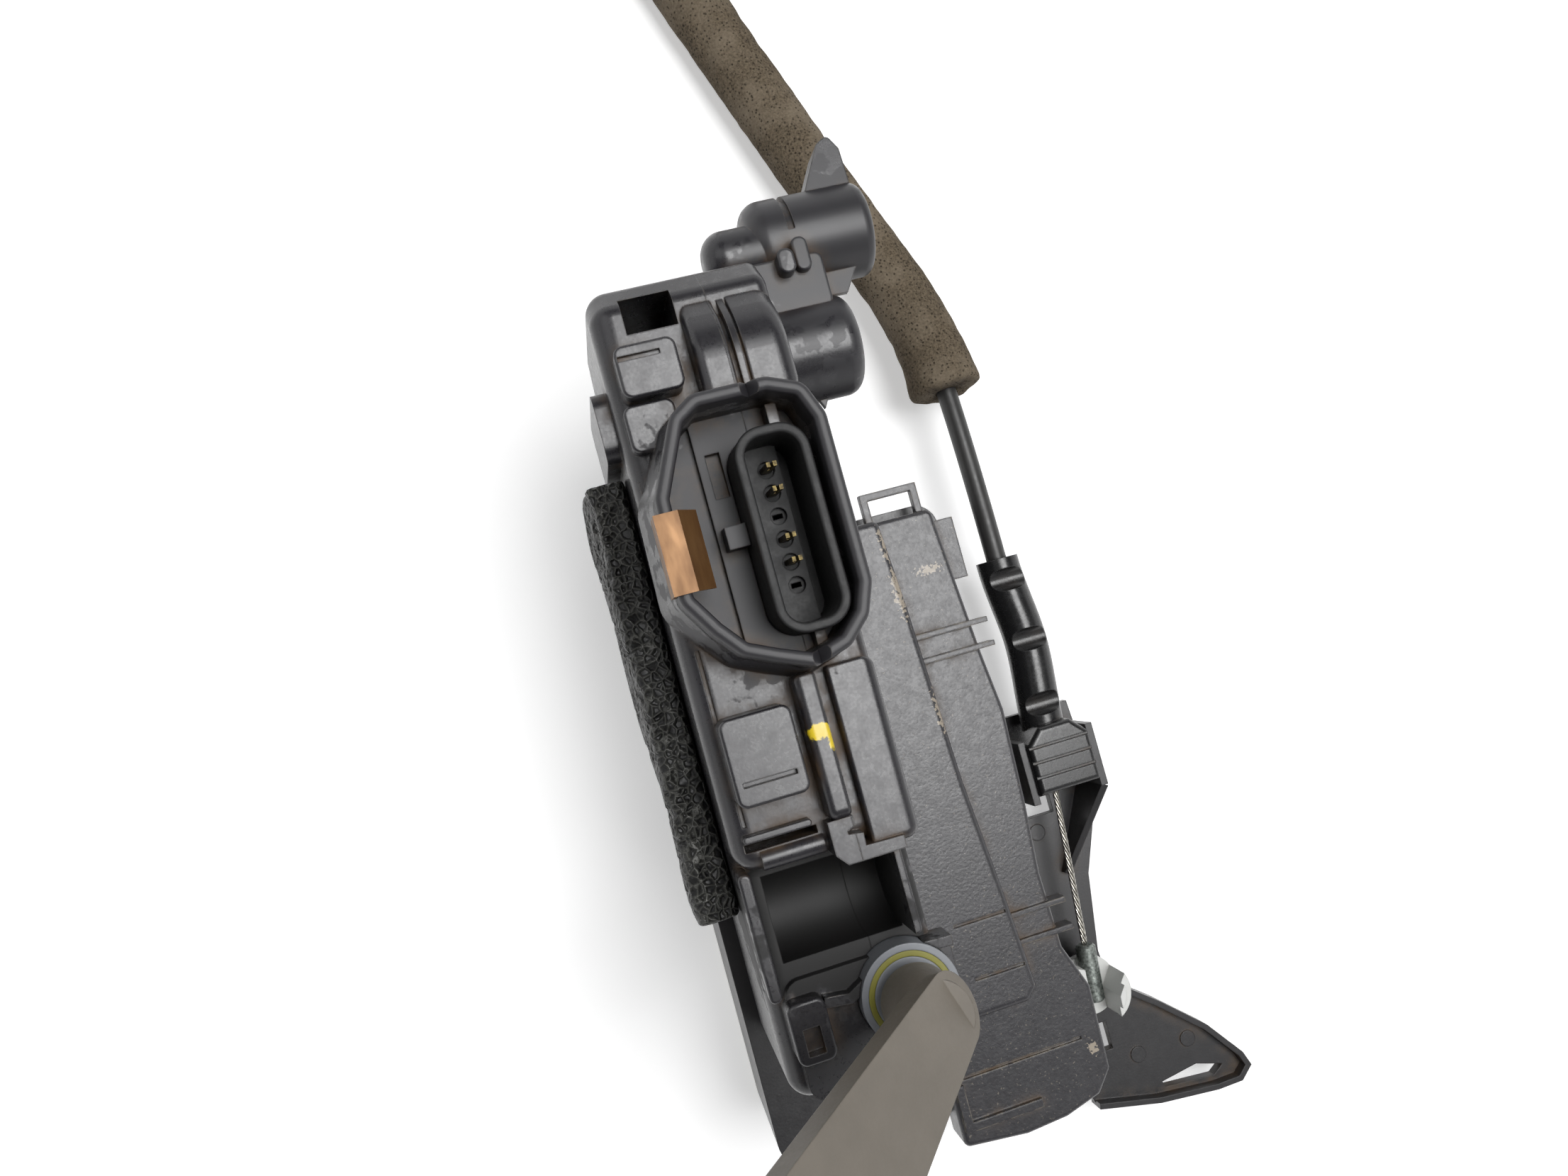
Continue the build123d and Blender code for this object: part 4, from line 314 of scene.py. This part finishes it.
def grid_object(name, points, close_u, close_v, material, body):
    """Object from a grid of points: quads join neighbours, and closed directions join last to first."""
    rows, columns = points.shape[:2]
    u = np.arange(rows if close_u else rows - 1)[:, None]
    v = np.arange(columns if close_v else columns - 1)[None, :]
    next_u, next_v = (u + 1) % rows, (v + 1) % columns
    corners = [u * columns + v, next_u * columns + v, next_u * columns + next_v, u * columns + next_v]
    quads = np.stack([np.broadcast_to(corner, (u.size, v.size)) for corner in corners], -1).reshape(-1, 4)
    mesh = bpy.data.meshes.new(name)
    mesh.from_pydata(points.reshape(-1, 3), [], quads)
    mesh.validate()
    mesh.shade_smooth()
    mesh.materials.append(material)
    made = bpy.data.objects.new(name, mesh)
    bpy.context.scene.collection.objects.link(made)
    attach(made, body)
    return made


def rough(shape, cell, seed):
    """Smooth noise from -1 to 1 on a grid of this shape that closes on itself: random phases under a
    bell-shaped spectrum whose cells are this many grid steps wide."""
    noise = np.random.default_rng(seed).standard_normal(shape)
    waves = np.sqrt(np.fft.fftfreq(shape[0])[:, None] ** 2 + np.fft.fftfreq(shape[1])[None, :] ** 2)
    smooth = np.real(np.fft.ifft2(np.fft.fft2(noise) * np.exp(-(waves * cell * 2) ** 2)))
    return np.clip(smooth / (3 * smooth.std()), -1, 1)


def along(points):
    """Length along a line of points, from its first one."""
    return np.concatenate([[0], np.cumsum(np.linalg.norm(np.diff(points, axis=0), axis=1))])


def stretch(line, start, stop, count):
    """Even points on a line from the place nearest one point to the place nearest another."""
    run = along(line)
    low, high = (run[np.argmin(np.linalg.norm(line - end, axis=1))] for end in (start, stop))
    at = np.linspace(low, high, count)
    return np.stack([np.interp(at, run, line[:, axis]) for axis in range(3)], -1)


def frames(line):
    """Tangent, level side and upward normal at each point of a line."""
    tangent = np.gradient(line, axis=0)
    tangent /= np.linalg.norm(tangent, axis=1, keepdims=True)
    side = np.cross(tangent, (0, 0, 1))
    side /= np.linalg.norm(side, axis=1, keepdims=True)
    return tangent, side, np.cross(side, tangent)


class LatchStageSettings(bpy.types.PropertyGroup):
    """Floor and light."""
    floor_colour: FloatVectorProperty(name="Floor colour", description="Pale floor under the latch",
                                      subtype="COLOR", default=(0.86, 0.86, 0.86))
    sky: FloatProperty(name="Room light", description="Even light from all round", default=0.14, min=0)
    lens: FloatProperty(name="Lens", description="Focal length of the camera in millimetres", default=27.02)


class LatchCableSettings(bpy.types.PropertyGroup):
    """Cable and its foam sleeve."""
    jacket: FloatProperty(name="Jacket", description="Diameter of the cable's jacket", default=4.7 * MM,
                          unit="LENGTH")
    length: FloatProperty(name="Length", description="Length of the jacket", default=0.2641, unit="LENGTH")
    sleeve_radius: FloatProperty(name="Sleeve radius", description="Outer radius of the foam sleeve",
                                 default=7.4 * MM, unit="LENGTH")
    sleeve_bore: FloatProperty(name="Sleeve bore", description="Inner radius of the foam sleeve",
                               default=2.75 * MM, unit="LENGTH")
    sleeve_flare: FloatProperty(name="Sleeve flare", description="Growth of the sleeve's cut end",
                                default=1.1 * MM, unit="LENGTH")


class LatchFoamSettings(bpy.types.PropertyGroup):
    """Foam pad on the left face."""
    cell: FloatProperty(name="Cell", description="Size of the foam's open cells", default=1.3 * MM,
                        unit="LENGTH")
    depth: FloatProperty(name="Cell depth", description="Depth of the open cells", default=0.7 * MM,
                         unit="LENGTH")
    tear: FloatProperty(name="Tear", description="How far the torn edge wanders", default=1.2 * MM,
                        unit="LENGTH")


class LatchWireSettings(bpy.types.PropertyGroup):
    """Stranded release wire."""
    radius: FloatProperty(name="Radius", description="Outer radius of the wire", default=0.75 * MM,
                          unit="LENGTH")
    strands: IntProperty(name="Strands", description="Strands round the core", default=6, min=3)
    lay: FloatProperty(name="Lay", description="Length of one turn of a strand", default=9 * MM,
                       unit="LENGTH")


class LATCH_OT_stage(bpy.types.Operator):
    """Floor, room light, lamps and the camera of the photograph"""
    bl_idname = "latch.stage"
    bl_label = "Stage"

    def execute(self, context):
        settings = context.scene.latch_stage
        scene = context.scene
        scene.view_settings.view_transform = "Standard"
        floor_mesh = bpy.data.meshes.new("floor")
        half = 3.0
        floor_mesh.from_pydata([(-half, -half, 0), (half, -half, 0), (half, half, 0), (-half, half, 0)], [],
                               [(0, 1, 2, 3)])
        floor = bpy.data.objects.new("floor", floor_mesh)
        floor.location.z = -0.2 * MM
        scene.collection.objects.link(floor)
        floor_mesh.materials.append(self.floor_paint(settings))
        self.room(scene, settings)
        for lamp in LAMPS:
            self.lamp(*lamp)
        camera_data = bpy.data.cameras.new("photo_camera")
        camera_data.sensor_width = 36.0
        camera_data.lens = settings.lens
        camera_data.clip_start = 5 * MM
        camera = bpy.data.objects.new("photo_camera", camera_data)
        scene.collection.objects.link(camera)
        turn = Matrix(CAMERA_AXES).transposed().to_4x4()
        camera.matrix_world = Matrix.Translation(CAMERA_PLACE) @ turn
        scene.camera = camera
        return {"FINISHED"}

    @staticmethod
    def floor_paint(settings):
        """Matt white paint that looks fully white to the camera and in reflections where it is lit."""
        material, tree, shader = start_material("matt_white_floor_paint", {"Roughness": 0.9})
        shader.inputs["Base Color"].default_value = (*settings.floor_colour, 1)
        lift = add_node(tree, "ShaderNodeMath", {0: seen_rays(tree), 1: 0.4}, operation="MULTIPLY")
        shader.inputs["Emission Color"].default_value = (1, 1, 1, 1)
        tree.links.new(lift.outputs[0], shader.inputs["Emission Strength"])
        return material

    @staticmethod
    def room(scene, settings):
        """Room with even light, whose walls look white near the horizon to the camera and in mirrors."""
        world = bpy.data.worlds.new("white_room")
        world.use_nodes = True
        tree = world.node_tree
        looking = add_node(tree, "ShaderNodeTexCoord").outputs["Generated"]
        direction = add_node(tree, "ShaderNodeSeparateXYZ", {0: looking})
        wall = add_node(tree, "ShaderNodeMapRange", {"Value": direction.outputs["Z"], "From Min": 0.5,
                                                     "From Max": 0.3, "To Min": 0.0,
                                                     "To Max": 1 - settings.sky})
        lift = add_node(tree, "ShaderNodeMath", {0: seen_rays(tree), 1: wall.outputs[0], 2: settings.sky},
                        operation="MULTIPLY_ADD")
        background = tree.nodes["Background"]
        background.inputs["Color"].default_value = (1, 1, 1, 1)
        tree.links.new(lift.outputs[0], background.inputs["Strength"])
        scene.world = world

    @staticmethod
    def lamp(name, place, aim, size, power):
        """Softbox of this width and height at a place, turned to its aim."""
        data = bpy.data.lights.new(name, "AREA")
        data.shape = "RECTANGLE"
        data.size, data.size_y = size
        data.energy = power
        made = bpy.data.objects.new(name, data)
        made.location = place
        away = made.location - Matrix.Translation(aim).translation
        made.rotation_euler = away.to_track_quat("Z", "Y").to_euler()
        bpy.context.scene.collection.objects.link(made)


class LATCH_OT_cable(bpy.types.Operator):
    """Release cable with its jacket, and the foam sleeve on it"""
    bl_idname = "latch.cable"
    bl_label = "Cable and sleeve"

    def execute(self, context):
        settings = context.scene.latch_cable
        data = bpy.data.curves.new("cable_jacket", "CURVE")
        data.dimensions = "3D"
        data.resolution_u = 14
        spline = data.splines.new("NURBS")
        spline.points.add(len(CABLE_ROUTE) - 1)
        spline.points.foreach_set("co", np.column_stack([CABLE_ROUTE, np.ones(len(CABLE_ROUTE))]).ravel())
        spline.order_u = 3
        spline.use_endpoint_u = True
        cable = bpy.data.objects.new("cable_jacket", data)
        context.scene.collection.objects.link(cable)
        context.view_layer.update()
        traced = bpy.data.meshes.new_from_object(cable.evaluated_get(context.evaluated_depsgraph_get()))
        line = np.empty(len(traced.vertices) * 3)
        traced.vertices.foreach_get("co", line)
        line = line.reshape(-1, 3)
        bpy.data.meshes.remove(traced)
        data.bevel_depth = settings.jacket / 2
        data.bevel_resolution = 6
        data.use_fill_caps = True
        data.materials.append(moulded_plastic("extruded_polyethylene_jacket", "#242424", "#323130", 0.42,
                                              0.9, 0.03, wear=0.1))
        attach(cable, "latch")
        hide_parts("cable_conduit")
        sleeve = self.sleeve(settings, line)
        return {"FINISHED"}

    @staticmethod
    def sleeve(settings, line):
        """Foam tube: for each place on the cable a closed ring of wall points, outside there and bore
        back; the radius swells in slow lumps and fine pores, flares at the cut end, and is flattened where
        the tube lies on the floor."""
        first, last = SLEEVE_RUNS
        start = (CABLE_ROUTE[first] + CABLE_ROUTE[first + 1]) / 2
        stop = (CABLE_ROUTE[last] + CABLE_ROUTE[last + 1]) / 2
        count, around = 240, 96
        path = stretch(line, start, stop, count)
        tangent, side, up = frames(path)
        run = along(path)
        near, far, far_share = 9 * MM, 6 * MM, 0.4
        flare = settings.sleeve_flare * (np.exp(-run / near) + far_share * np.exp(-(run[-1] - run) / far))
        swell, pore = 0.35 * MM, 0.22 * MM
        lumps = rough((count, around), 30, 3) * swell + rough((count, around), 4, 5) * pore
        outer = settings.sleeve_radius + flare[:, None] + lumps
        lip = 1.4 * MM
        edge = np.minimum(run, run[-1] - run)[:, None]
        outer -= lip * (1 - np.sqrt(1 - np.clip(1 - edge / lip, 0, 1) ** 2))
        turn = np.linspace(0, 2 * np.pi, around, endpoint=False)
        ring = np.cos(turn)[None, :, None] * side[:, None] + np.sin(turn)[None, :, None] * up[:, None]
        skin = path[:, None] + ring * outer[..., None]
        steps = np.array([0, -1])
        bore = path[::-1][::count - 1][:, None] + ring[::-1][::count - 1] * settings.sleeve_bore
        ragged = rough((2, around), 5, 9)[:, :, None] * 0.5 * MM * tangent[steps][:, None]
        skin[steps] += ragged
        skin[..., 2] = np.maximum(skin[..., 2], 0)
        wall = np.concatenate([skin, bore])
        foam = closed_foam("dusty_polyethylene_foam", "#1d1812", "#463e33", "#736756", "#8d8170", 0.55, 0.25)
        made = grid_object("foam_sleeve_skin", wall[:, ::-1], True, True, foam, "latch")
        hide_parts("foam_sleeve")
        return made


class LATCH_OT_foam_pad(bpy.types.Operator):
    """Open-cell foam strip on the left face: a rounded oblong outline, carried along the strip and closed
    at both ends, with open cells sunk into its skin and a torn edge that wanders"""
    bl_idname = "latch.foam_pad"
    bl_label = "Foam pad"

    def execute(self, context):
        settings = context.scene.latch_foam
        low, high = (np.array(corner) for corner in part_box("foam_seal_pad"))
        middle, half = (low + high) / 2, (high - low) / 2
        rows, around = 220, 176
        v = np.linspace(-1, 1, rows)
        turn = np.linspace(0, 2 * np.pi, 2000)
        power = 0.28
        outline = np.stack([half[0] * np.sign(np.cos(turn)) * np.abs(np.cos(turn)) ** power,
                            half[2] * np.sign(np.sin(turn)) * np.abs(np.sin(turn)) ** power], -1)
        reach = along(outline)
        even = np.linspace(0, reach[-1], around, endpoint=False)
        ring = np.stack([np.interp(even, reach, outline[:, axis]) for axis in range(2)], -1)
        lead = np.roll(ring, -1, 0) - np.roll(ring, 1, 0)
        outward = np.stack([lead[:, 1], np.zeros(around), -lead[:, 0]], -1)
        outward /= np.linalg.norm(outward, axis=1, keepdims=True)
        cap = np.clip((1 - np.abs(v)) / 0.03, 0, 1) ** 0.5
        skin = np.stack([
            middle[0] + cap[:, None] * ring[:, 0],
            np.broadcast_to(middle[1] + half[1] * v[:, None], (rows, around)),
            middle[2] + cap[:, None] * ring[:, 1],
        ], -1)
        pits = (rough((rows, around), 2.6, 21) + 0.7 * rough((rows, around), 6, 22)) * settings.depth
        free = np.clip((middle[0] + half[0] * 0.7 - skin[..., 0]) / half[0], 0, 1)
        torn = (rough((rows, around), 34, 23) + 0.3) * settings.tear
        lift = (np.minimum(pits, 0.2 * settings.depth) + torn) * free * cap[:, None]
        skin += outward[None] * lift[..., None]
        # Near black painted shade in the pits, grey painted highlight on the struts
        foam = open_foam("black_polyurethane_foam", "#030303", "#4c4c48", 1.5, 1.0)
        pad = grid_object("foam_pad_cells", skin[:, ::-1], False, True, foam, "latch")
        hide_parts("foam_seal_pad")
        return {"FINISHED"}


class LATCH_OT_wire(bpy.types.Operator):
    """Stranded wire between the end fitting and the ferrule"""
    bl_idname = "latch.wire"
    bl_label = "Stranded wire"

    def execute(self, context):
        settings = context.scene.latch_wire
        strand = settings.radius / 2.7
        lay_radius = settings.radius - strand
        count, around = 90, 10
        length = np.linalg.norm(WIRE_TO - WIRE_FROM)
        t = np.linspace(0, 1, count)
        axis = (WIRE_TO - WIRE_FROM) / length
        side = np.cross(axis, (0, 0, 1))
        up = np.cross(side, axis)
        starts = np.arange(settings.strands) * 2 * np.pi / settings.strands
        phase = starts[:, None] + 2 * np.pi * t[None] * length / settings.lay
        centre = (WIRE_FROM + t[None, :, None] * length * axis
                  + lay_radius * (np.cos(phase)[..., None] * side + np.sin(phase)[..., None] * up))
        turn = np.linspace(0, 2 * np.pi, around, endpoint=False)
        ring = strand * (np.cos(turn)[:, None] * side + np.sin(turn)[:, None] * up)
        close = np.where((np.arange(count) == 0) | (np.arange(count) == count - 1), 0.0, 1.0)
        skin = centre[:, :, None] + ring[None, None] * close[None, :, None, None]
        steel = metal("galvanised_steel_wire", "#8d8a84", "#d2cec4", 0.32, 0.8, 0.02)
        pieces = [grid_object(f"wire_strand_{index}", strand_skin, False, True, steel, "pull_wire") for index, strand_skin in enumerate(skin)]
        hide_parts("release_wire")
        return {"FINISHED"}


class LATCH_OT_finishes(bpy.types.Operator):
    """Finishes of the pieces that keep their solid shape"""
    bl_idname = "latch.finishes"
    bl_label = "Finishes"

    def execute(self, context):
        case = moulded_plastic("glass_filled_nylon_satin", "#1f1e21", "#2a292d", 0.3, 0.5, 0.012,
                               worn="#8d867c", wear=0.55, dirt=0.75)
        give(case, "left_shell", "right_shell", "lock_switch")
        for middle, half in PAINT_DABS:
            tinted_spot(case, middle, half, 0.9, "#d8bd22")
        for middle, half, roughness in DULL_PLACES:
            dull_spot(case, middle, half, roughness)
        # Painted shade: the inside of the pocket is tinted near black
        tinted_spot(case, *POCKET_PAINTED_SHADE, 3.0, "#0c0b0b")
        # Painted shade: the connector socket gets a darker base than the case, standing in for the shade
        # deep inside it
        give(moulded_plastic("moulded_polyester_black_painted_shade", "#101011", "#171718", 0.62, 0.5, 0.01, wear=0.2),
             "connector_socket")
        cover = moulded_plastic("glass_filled_nylon_grained", "#272629", "#37363a", 0.33, 0.65, 0.07,
                                worn="#a99f8e", wear=1.0, soft_edge=0.5, specks=0.35, dirt=0.8)
        give(cover, "latch_back_cover")
        for middle, half in SCUFFS:
            tinted_spot(cover, middle, half, 0.7, "#9d9283", tatter=5.0)
        give(moulded_plastic("glass_filled_nylon_black", "#1f1e20", "#2a292b", 0.36, 0.5, 0.03, specks=0.12,
                             dirt=0.7), "latch_housing")
        give(moulded_plastic("moulded_acetal_black", "#131314", "#1e1e1f", 0.26, 0.6, 0.01, wear=0.3,
                             dirt=0.3), "cable_end_fitting", "handle_end_fitting")
        give(moulded_plastic("moulded_nylon_white", "#cfd0cd", "#e2e3e0", 0.4, 0.6, 0.02, worn="#b9b8b2",
                             dirt=0.3), "release_lever")
        give(moulded_plastic("moulded_acetal_grey", "#6b6e73", "#83868b", 0.38, 0.6, 0.02, worn="#a7a8aa",
                             dirt=0.5), "shaft_bush", "lock_lever")
        give(moulded_plastic("moulded_acetal_natural", "#cfcabd", "#ded9cc", 0.36, 0.6, 0.02,
                             worn="#efece4"), "worm_wheel")
        give(moulded_plastic("moulded_plastic_taupe", "#5f5950", "#736c62", 0.5, 0.5, 0.03, worn="#8b847a"),
             "outside_lever")
        give(moulded_plastic("moulded_seal_rubber", "#6d6a1f", "#86822c", 0.5, 0.5, 0.02, dirt=0.5),
             "shaft_seal")
        give(moulded_plastic("moulded_black_rubber", "#151515", "#1f1f1f", 0.7, 0.5, 0.03),
             "striker_bumper")
        give(metal("stamped_brass_dull", "#3c3320", "#64572f", 0.45, 0.8, 0.01, bright=0.7),
             "terminal_pins", "motor_worm")
        give(metal("rolled_copper_strip", "#6a4a2c", "#84613d", 0.42, 2.5, 0.01, streak=(1, 0.3, 1),
                   bright=0.45), "connector_clip")
        give(metal("die_cast_zinc_dull", "#5d615e", "#9aa09b", 0.5, 0.7, 0.08),
             "wire_ferrule", "handle_barrel")
        give(metal("zinc_plated_steel", "#9b9a93", "#bdbcb5", 0.4, 3.0, 0.02),
             "striker_plate", "lock_motor")
        give(metal("phosphated_steel", "#333436", "#4a4b4d", 0.5, 1.2, 0.04),
             "fork_bolt", "pawl", "case_screws")
        give(metal("drawn_steel", "#9c9c9a", "#c2c2bf", 0.28, 0.6, 0.01, streak=(1, 0.08, 1)),
             "fork_pin", "pawl_pin", "fork_spring", "pawl_spring", "release_lever_pin", "lever_shaft",
             "wheel_axle", "lock_lever_pin", "handle_wire")
        return {"FINISHED"}


class LATCH_PT_panel(bpy.types.Panel):
    """Sidebar list of the latch's pieces"""
    bl_idname = "LATCH_PT_panel"
    bl_label = "Door latch actuator"
    bl_space_type = "VIEW_3D"
    bl_region_type = "UI"
    bl_category = "Latch"

    def draw(self, context):
        for operator in OPERATORS:
            self.layout.operator(operator.bl_idname)


SETTINGS = {"latch_stage": LatchStageSettings, "latch_cable": LatchCableSettings,
            "latch_foam": LatchFoamSettings, "latch_wire": LatchWireSettings}
OPERATORS = (LATCH_OT_stage, LATCH_OT_cable, LATCH_OT_foam_pad, LATCH_OT_wire, LATCH_OT_finishes)


def register():
    for kind in (*SETTINGS.values(), *OPERATORS, LATCH_PT_panel):
        bpy.utils.register_class(kind)
    for name, kind in SETTINGS.items():
        setattr(bpy.types.Scene, name, PointerProperty(type=kind))


def unregister():
    for name in SETTINGS:
        delattr(bpy.types.Scene, name)
    for kind in (LATCH_PT_panel, *reversed(OPERATORS), *SETTINGS.values()):
        bpy.utils.unregister_class(kind)


def main():
    """Builds the pieces in order."""
    register()
    bpy.ops.latch.stage()
    bpy.ops.latch.cable()
    bpy.ops.latch.foam_pad()
    bpy.ops.latch.wire()
    bpy.ops.latch.finishes()


if __name__ == "__main__":
    main()
